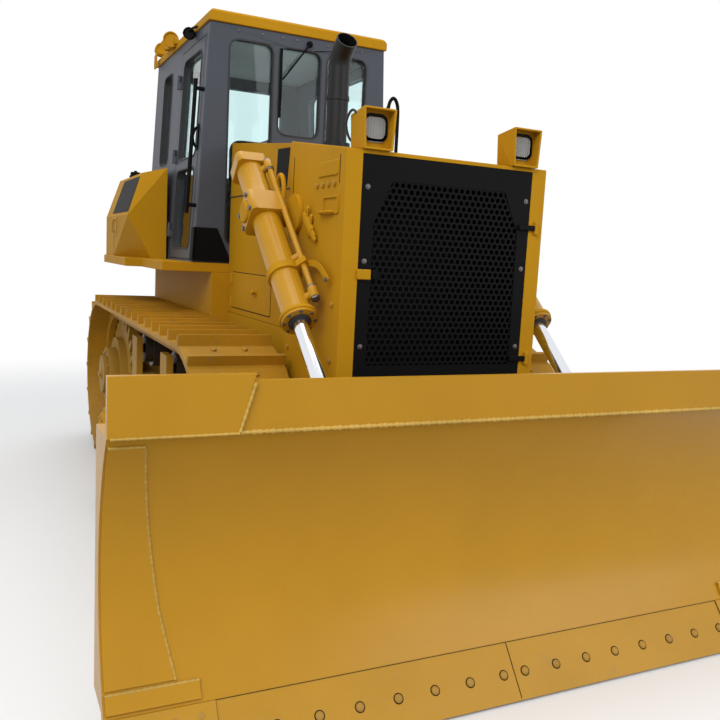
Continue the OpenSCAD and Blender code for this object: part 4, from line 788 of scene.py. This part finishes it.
handleBar = onPlane(sidePlane, np.array([[handleX, z] for z in (0.80, 0.80, 0.86, 0.92, 0.92)]), 0.0)
handleBar += np.array([0, 0.018, 0.034, 0.018, 0])[:, None] * np.array([-1.0, 0, 0])
handleParts = [plate(handlePlane, roundedOutline(0.05, 0.18, 0.015), 0.008, 0.003),
               sweep(smoothPath(handleBar, 6), circle(0.008, 10))]
makePair("doorHandle", handleParts, "black", "door")
sideSeal = seal(sidePlane, (-1.507, 0.756), (-1.213, paneEnd), paneRound)
makeSides("sideSeals", [sideSeal], "rubber")
wiperSet = {"pivot": (0.061, 3.322), "elbow": (-0.138, 3.052), "bladeTop": (-0.148, 3.262),
            "bladeLow": (-0.147, 2.792)}
frontY = cabSet["frontY"]


def wiperPoint(key, proud):
    x, z = wiperSet[key]
    return x, frontY - proud, z


wiperParts = [lathe(wiperPoint("pivot", 0.0), (0, -1, 0),
                    [(0.022, -0.002), (0.022, 0.012), (0.014, 0.018), (0.014, 0.03), (0.01, 0.032)], 20),
              sweep([wiperPoint("pivot", 0.024), wiperPoint("elbow", 0.02)], rectangle(0.012, 0.007),
                    hint=(0, 1, 0)),
              sweep([wiperPoint("bladeTop", 0.010), wiperPoint("bladeLow", 0.010)], rectangle(0.016, 0.012),
                    hint=(0, 1, 0))]
makePiece("wiper", wiperParts, "black")
cabFixings = [(x, frontY, 3.335) for x in (-0.457, -0.29, -0.14, -0.035, 0.2, 0.33, 0.474)]
makePiece("cabFixings", [bolts(cabFixings, (0, -1, 0), 0.009)], "steel")
stepSet = {"left": 0.739, "rightTop": 0.571, "rightLow": 0.464, "low": 1.766, "top": 1.996, "proud": 0.012,
           "sideTo": 0.21}
k = stepSet
stepFace = np.array([(-k["left"], k["low"]), (-k["rightLow"], k["low"]), (-k["rightTop"], k["top"]),
                     (-k["left"] + 0.008, k["top"])])
stepSide = np.array([(-k["sideTo"], 0.011), (0.012 - frontY, 0.011), (0.012 - frontY, k["top"] - cabSet["deck"]),
                     (-k["sideTo"], k["top"] - cabSet["deck"])])
stepParts = [plate(frontPlane, stepFace, k["proud"], 0.004), plate(sidePlane, stepSide, k["proud"], 0.004)]
makeSides("cabStepPanels", stepParts, "black")
roofPlane = ((0, cabSet["middleY"], 3.449), *topWay)
makePiece("roofPanel", [plate(roofPlane, roundedOutline(0.86, 1.25, 0.08), 0.012, 0.008)], "yellow")
ceilingPlane = ((0, cabSet["middleY"], cabSet["wallTop"]), (1, 0, 0), (0, -1, 0))  # faces down inside the cab
makePiece("roofLining", [plate(ceilingPlane, roundedOutline(1.16, 1.50, 0.06), 0.012, 0.006)], "lining")
rearLamp = ((0.585, 1.949, 3.253), *rearWay)
lampRear = ringPlate(rearLamp, roundedOutline(0.084, 0.112, 0.014), roundedOutline(0.066, 0.094, 0.01), 0.006)
lensRear = plate(rearLamp, roundedOutline(0.068, 0.096, 0.01), 0.004, 0.002)
makeSides("rearLampRims", [lampRear], "black")
makeSides("rearLampLenses", [lensRear], "lens")
bracketParts = [sweep([(-0.60, 1.62, 3.452), (-0.60, 1.78, 3.452)], rectangle(0.09, 0.012), hint=(0, 0, 1)),
                sweep(smoothPath([(-0.62, 1.72, 3.45), (-0.69, 1.73, 3.46), (-0.70, 1.735, 3.40),
                                  (-0.70, 1.735, 3.34)]), rectangle(0.012, 0.07), hint=(0, 1, 0)),
                lathe((-0.655, 1.72, 3.495), (0, -1, 0),
                      [(0.03, -0.06), (0.05, -0.05), (0.055, 0.0), (0.055, 0.02), (0.048, 0.021), (0.044, 0.01),
                       (0.01, 0.008)], 24)]
bracketParts += [sweep([(-0.676, 1.06, 3.43), (-0.676, 1.36, 3.43)], rectangle(0.02, 0.045), hint=(0, 0, 1)),
                 lathe((-0.70, 1.14, 3.445), (-0.35, -0.94, 0),
                       [(0.03, -0.07), (0.052, -0.06), (0.06, 0.0), (0.06, 0.025), (0.052, 0.026),
                        (0.048, 0.012), (0.01, 0.01)], 24),
                 lathe((-0.70, 1.32, 3.445), (-0.35, -0.94, 0),
                       [(0.02, -0.05), (0.036, -0.04), (0.04, 0.0), (0.04, 0.02), (0.034, 0.021),
                        (0.01, 0.012)], 20)]
makeSides("roofLampBrackets", bracketParts, "yellow")
sideLamp = [lathe((-0.705, 0.53, 3.36), (-0.5, -0.86, 0),
                  [(0.02, -0.05), (0.038, -0.03), (0.042, 0.0), (0.042, 0.012), (0.036, 0.013), (0.032, 0.004),
                   (0.008, 0.003)], 20),
            tube([(-0.665, 0.62, 3.40), (-0.70, 0.63, 3.39), (-0.705, 0.57, 3.37), (-0.695, 0.48, 3.385),
                  (-0.665, 0.42, 3.39)], 0.008, 8),
            tube([(-0.665, 0.70, 3.41), (-0.71, 0.68, 3.40), (-0.71, 0.60, 3.365),
                  (-0.70, 0.55, 3.36)], 0.007, 8)]
makeSides("sideLamps", sideLamp, "black")
lampRim = ringPlate(((0.416, -1.956, 2.445), *frontWay), roundedOutline(0.126, 0.126, 0.036),
                    roundedOutline(0.1, 0.1, 0.028), 0.006)
makeSides("headlampRims", [lampRim], "black")
hoodLoop = tube([(-0.171, -1.60, 2.36), (-0.171, -1.60, 2.54), (-0.168, -1.60, 2.63), (-0.144, -1.60, 2.665),
                 (-0.119, -1.60, 2.63), (-0.114, -1.60, 2.54), (-0.114, -1.60, 2.36)], 0.009, 10)
makePiece("hoodLoop", [hoodLoop], "black")
lampWires = [tube([(0.44, -1.86, 2.36), (0.49, -1.84, 2.40), (0.515, -1.85, 2.47), (0.512, -1.90, 2.52),
                   (0.49, -1.93, 2.50)], 0.006, 8)]
makeSides("lampWires", lampWires, "rubber")
print("cab dressed")

# tanks: filler caps, bare black panel, latch
fillerSet = {"side": (-0.872, 1.62), "sideZ": 2.418, "rear": (-0.35, 2.09), "rearZ": 2.395}
capProfile = [(0.05, -0.006), (0.05, 0.006), (0.042, 0.01), (0.042, 0.03), (0.036, 0.038), (0.012, 0.04),
              (0.012, 0.048), (0.009, 0.05)]
makePiece("fillerCaps", bothSides([lathe((*fillerSet["side"], fillerSet["sideZ"]), (0, 0, 1), capProfile, 28)])
          + [lathe((*fillerSet["rear"], fillerSet["rearZ"]), (0, 0, 1), capProfile, 28)], "black")
tankSlope = unit(np.array([0.111, 0.0, 0.323]))  # up the slanted side of a tank
tankPlane = ((-1.044, 0, 2.079), (0, -1, 0), tankSlope)
tankPanel = np.array([(-1.72, 0.025), (-0.962, 0.025), (-1.012, 0.315), (-1.72, 0.315)])
makeSides("tankPanels", [plate(tankPlane, tankPanel, 0.003, 0.001)], "black")
latchPlane = ((-1.044, 1.506, 1.998), *rightWay)
tankLatch = [plate(latchPlane, roundedOutline(0.06, 0.15, 0.012), 0.006, 0.002),
             tube([(-1.05, 1.506, 2.05), (-1.068, 1.506, 2.045), (-1.074, 1.506, 1.998), (-1.068, 1.506, 1.955),
                   (-1.05, 1.506, 1.95)], 0.008, 10)]
makeSides("tankLatches", tankLatch, "bolt")
makeSides("tankSeams", [seamLine(((-1.044, 1.59, 1.91), *rightWay), 0.3)], "black")
print("tanks dressed")

# exhaust: straight pipe, smooth bend, open mouth
exhaustSet = {"x": -0.097, "y": -0.775, "foot": 2.455, "bendZ": 2.965, "bendR": 0.14, "turn": 50.0,
              "end": 0.0653, "r": 0.064, "wall": 0.005, "bolt": (-0.163, -0.775, 2.794)}


def exhaustShape(s):
    # rings stand across the pipe's line, up the outside and back down the inside
    bend = np.radians(np.linspace(0, s["turn"], 9))
    zs = np.array([s["foot"], 2.512, 2.513, 2.53, 2.531, 2.78, 2.781, 2.806, 2.807])
    rs = np.array([0.088, 0.088, 0.086, 0.086, s["r"], s["r"], s["r"] + 0.006, s["r"] + 0.006, s["r"]])
    straight = np.stack([np.full(9, s["y"]), zs], axis=1)
    arc = np.stack([s["y"] - s["bendR"] * (1 - np.cos(bend)), s["bendZ"] + s["bendR"] * np.sin(bend)], axis=1)
    tip = arc[-1] + s["end"] * np.array([-math.sin(bend[-1]), math.cos(bend[-1])])
    line1 = np.vstack([straight, arc, tip])
    tilt = np.concatenate([np.zeros(9), bend, bend[-1:]])
    radius = np.concatenate([rs, np.full(10, s["r"])])
    back = slice(None, 8, -1)
    line2, tilt2 = np.vstack([line1, line1[back]]), np.concatenate([tilt, tilt[back]])
    radius2 = np.concatenate([radius, radius[back] - s["wall"]])
    a = np.linspace(0, 2 * np.pi, 32, endpoint=False)
    side = np.array([1.0, 0, 0])
    up = np.stack([0 * tilt2, np.cos(tilt2), np.sin(tilt2)], axis=1)
    centre = np.stack([np.full(len(line2), s["x"]), line2[:, 0], line2[:, 1]], axis=1)
    round2 = np.cos(a)[None, :, None] * side - np.sin(a)[None, :, None] * up[:, None]
    rings = centre[:, None] + radius2[:, None, None] * round2
    return skin(rings, True, True, True)


clampBolt = bolts([exhaustSet["bolt"]], (-1, 0, 0), 0.01)
exhaust = makePiece("exhaustPipe", [exhaustShape(exhaustSet), clampBolt], "exhaust", crease=40)
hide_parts("exhaust_stack")
print("exhaust made")

# seat: a moulded foot with two padded cushions
seatSet = {"centreY": 0.96, "low": 1.785, "padLow": 2.085, "padTop": 2.215, "half": 0.24, "deep": 0.46,
           "backTop": 2.775, "backThick": 0.13, "voxel": 0.012, "cap": 0.014, "pressure": 4.0}


def padShape(low, high, crown, across, side):
    # a closed pillow: a ball squared toward a box by the powers, then drawn in by crown
    u = np.linspace(-np.pi / 2, np.pi / 2, 17)[:, None]
    v = np.linspace(0, 2 * np.pi, 40, endpoint=False)[None, :]

    def squared(c, power):
        return np.sign(c) * np.abs(c) ** power

    pts = np.stack(np.broadcast_arrays(squared(np.cos(u), 0.35) * squared(np.cos(v), 0.35),
                                       squared(np.cos(u), 0.35) * squared(np.sin(v), 0.35),
                                       squared(np.sin(u), 0.55)), axis=-1)
    middle, half = (np.array(low) + np.array(high)) / 2, (np.array(high) - np.array(low)) / 2
    order = [across, side, 3 - across - side]
    out = np.empty_like(pts)
    out[..., order] = pts
    rings = middle + out * half * (1 - crown)
    return skin(rings[1:-1], True, True, True)


def readPoints(mesh):
    place = np.empty(len(mesh.vertices) * 3, np.float32)
    mesh.vertices.foreach_get("co", place)
    return place.reshape(-1, 3)


def evaluated(obj):
    # the object's mesh with its modifiers worked out, and the modifiers then removed
    mesh = bpy.data.meshes.new_from_object(obj.evaluated_get(bpy.context.evaluated_depsgraph_get()))
    obj.modifiers.clear()
    return mesh


def makePad(name, low, high, across, side):
    s = seatSet
    pad = makePiece(name, [padShape(low, high, 0.06, across, side)], "cloth", crease=180)
    middle, half = (np.array(low) + np.array(high)) / 2, (np.array(high) - np.array(low)) / 2
    remesh = pad.modifiers.new("remesh", "REMESH")
    remesh.mode = "VOXEL"
    remesh.voxel_size = s["voxel"]
    pad.data = evaluated(pad)
    start = readPoints(pad.data)
    cloth = pad.modifiers.new("swell", "CLOTH")
    cloth.settings.use_pressure = True
    cloth.settings.uniform_pressure_force = s["pressure"]
    cloth.settings.effector_weights.gravity = 0.0
    cloth.settings.quality = 4
    for step in range(1, 21):
        scene.frame_set(step)
    swollen = evaluated(pad)
    scene.frame_set(1)
    move = readPoints(swollen) - start
    far = np.linalg.norm(move, axis=1, keepdims=True)
    place = start + move * np.minimum(1, s["cap"] / np.maximum(far, 1e-9))
    place = np.clip(place, middle - half, middle + half)
    swollen.vertices.foreach_set("co", place.astype(np.float32).ravel())
    pad.data = swollen
    swollen.materials.clear()
    swollen.materials.append(finishes["cloth"])
    mesh = pad.data
    place = readPoints(mesh)
    share = (place - middle) / half
    thick, way = 3 - across - side, 1 if side == 1 else -1  # the axis through the pad, and its outer side
    channel = sum(np.exp(-((share[:, across] - c) / 0.045) ** 2) for c in (-0.45, 0.0, 0.45))  # sewn seams
    top = np.clip((share[:, thick] * way - 0.2) / 0.6, 0, 1)
    place[:, thick] -= way * 0.008 * channel * top
    mesh.vertices.foreach_set("co", place.ravel())
    mesh.polygons.foreach_set("use_smooth", np.ones(len(mesh.polygons), bool))
    mesh.update()
    smooth = pad.modifiers.new("smooth", "SUBSURF")
    smooth.levels = smooth.render_levels = 1
    return pad


s = seatSet
backY = s["centreY"] + s["deep"] / 2
seatPad = makePad("seatPad", (-s["half"], s["centreY"] - s["deep"] / 2, s["padLow"]),
                  (s["half"], backY, s["padTop"]), 0, 1)
seatBack = makePad("seatBack", (-s["half"], backY - s["backThick"], s["padTop"] + 0.002),
                   (s["half"], backY, s["backTop"]), 0, 2)
footPlane = ((0, s["centreY"], 0), *topWay)
footSizes = ((0.32, s["low"]), (0.32, 1.82), (0.22, 1.86), (0.22, 2.0), (0.30, 2.05), (0.36, s["padLow"] + 0.004))
footRings = np.stack([onPlane(footPlane, roundedOutline(w, w, 0.04)[::-1], z) for w, z in footSizes])
seatFoot = makePiece("seatFoot", [skin(footRings, True, True, True)], "plastic")
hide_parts("seat")
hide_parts("seat")
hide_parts("seat")
print("seat made")

# floor, light and background
stageSet = {"floor": 80.0, "pale": 0.84, "bounce": 0.4, "worldLight": 0.62, "keyPower": 600.0,
            "fillPower": 190.0, "topPower": 320.0, "fadeFrom": 4.0, "fadeTo": 8.5}


def seenMask(tree):
    # one where the camera, a mirror or glass looks, nought for light
    path = addNode(tree, "LightPath").outputs
    mask = path["Is Camera Ray"]
    for kind in ("Is Glossy Ray", "Is Transmission Ray"):
        mask = maths(tree, "MAXIMUM", mask, path[kind])
    return mask


def blendShaders(tree, factor, plain, white, output):
    mix = addNode(tree, "MixShader", {0: factor, 1: plain.outputs[0], 2: white.outputs[0]})
    tree.links.new(mix.outputs[0], output.inputs["Surface"])


world = bpy.data.worlds.new("studio")
scene.world = world
world.use_nodes = True
worldTree = world.node_tree
worldPlain = worldTree.nodes["Background"]
setInputs(worldTree, worldPlain, {"Color": (0.94, 0.97, 1.0, 1), "Strength": stageSet["worldLight"]})
worldWhite = addNode(worldTree, "Background", {"Color": (1, 1, 1, 1), "Strength": 1.0})
blendShaders(worldTree, seenMask(worldTree), worldPlain, worldWhite, worldTree.nodes["World Output"])

floorHalf = stageSet["floor"] / 2
floorMesh = bpy.data.meshes.new("paleFloor")
floorCorners = [(x * floorHalf, y * floorHalf, -0.001) for x, y in ((-1, -1), (1, -1), (1, 1), (-1, 1))]
floorMesh.from_pydata(floorCorners, [], [(0, 1, 2, 3)])
floorObject = bpy.data.objects.new("paleFloor", floorMesh)
scene.collection.objects.link(floorObject)
floorMat, floorTree, floorShader = startMaterial("paleFloor")
seen = seenMask(floorTree)
floorTones = [(stageSet[k],) * 3 + (1,) for k in ("bounce", "pale")]  # seen paler than the light it throws back
setInputs(floorTree, floorShader, {"Base Color": mixColours(floorTree, seen, *floorTones), "Roughness": 0.9,
                                   "Specular IOR Level": 0.1})
reach = addNode(floorTree, "VectorMath", {0: objectPlace(floorTree)}, operation="LENGTH").outputs["Value"]
fade = ranged(floorTree, reach, stageSet["fadeFrom"], stageSet["fadeTo"], interpolation_type="SMOOTHSTEP")
floorWhite = addNode(floorTree, "Emission", {"Color": (1, 1, 1, 1), "Strength": 1.0})
blendShaders(floorTree, maths(floorTree, "MULTIPLY", fade, seen), floorShader, floorWhite,
             floorTree.nodes["Material Output"])
floorMesh.materials.append(floorMat)


def addLamp(name, place, target, size, power, colour):
    data = bpy.data.lights.new(name, "AREA")
    data.size = size
    data.energy = power
    data.color = colour
    lamp = bpy.data.objects.new(name, data)
    heading = unit(np.array(target, float) - np.array(place, float))
    side, up = crossAxes(heading, np.array([0, 0, 1.0]))
    axes = np.stack([side, up, -heading], axis=1)
    lamp.matrix_world = Matrix.Translation(place) @ Matrix(axes.tolist()).to_4x4()
    scene.collection.objects.link(lamp)


addLamp("keySoft", (-6.0, -7.5, 8.0), (0, -0.5, 1.4), 6.0, stageSet["keyPower"], (1, 0.98, 0.95))
addLamp("fillSoft", (4.8, -8.4, 4.2), (0, -1.5, 0.9), 4.5, stageSet["fillPower"], (0.95, 0.98, 1))
addLamp("topSoft", (0.0, 1.0, 9.5), (0, 0.4, 0), 7.0, stageSet["topPower"], (1, 1, 1))
scene.view_settings.view_transform = "Standard"
print("stage set")
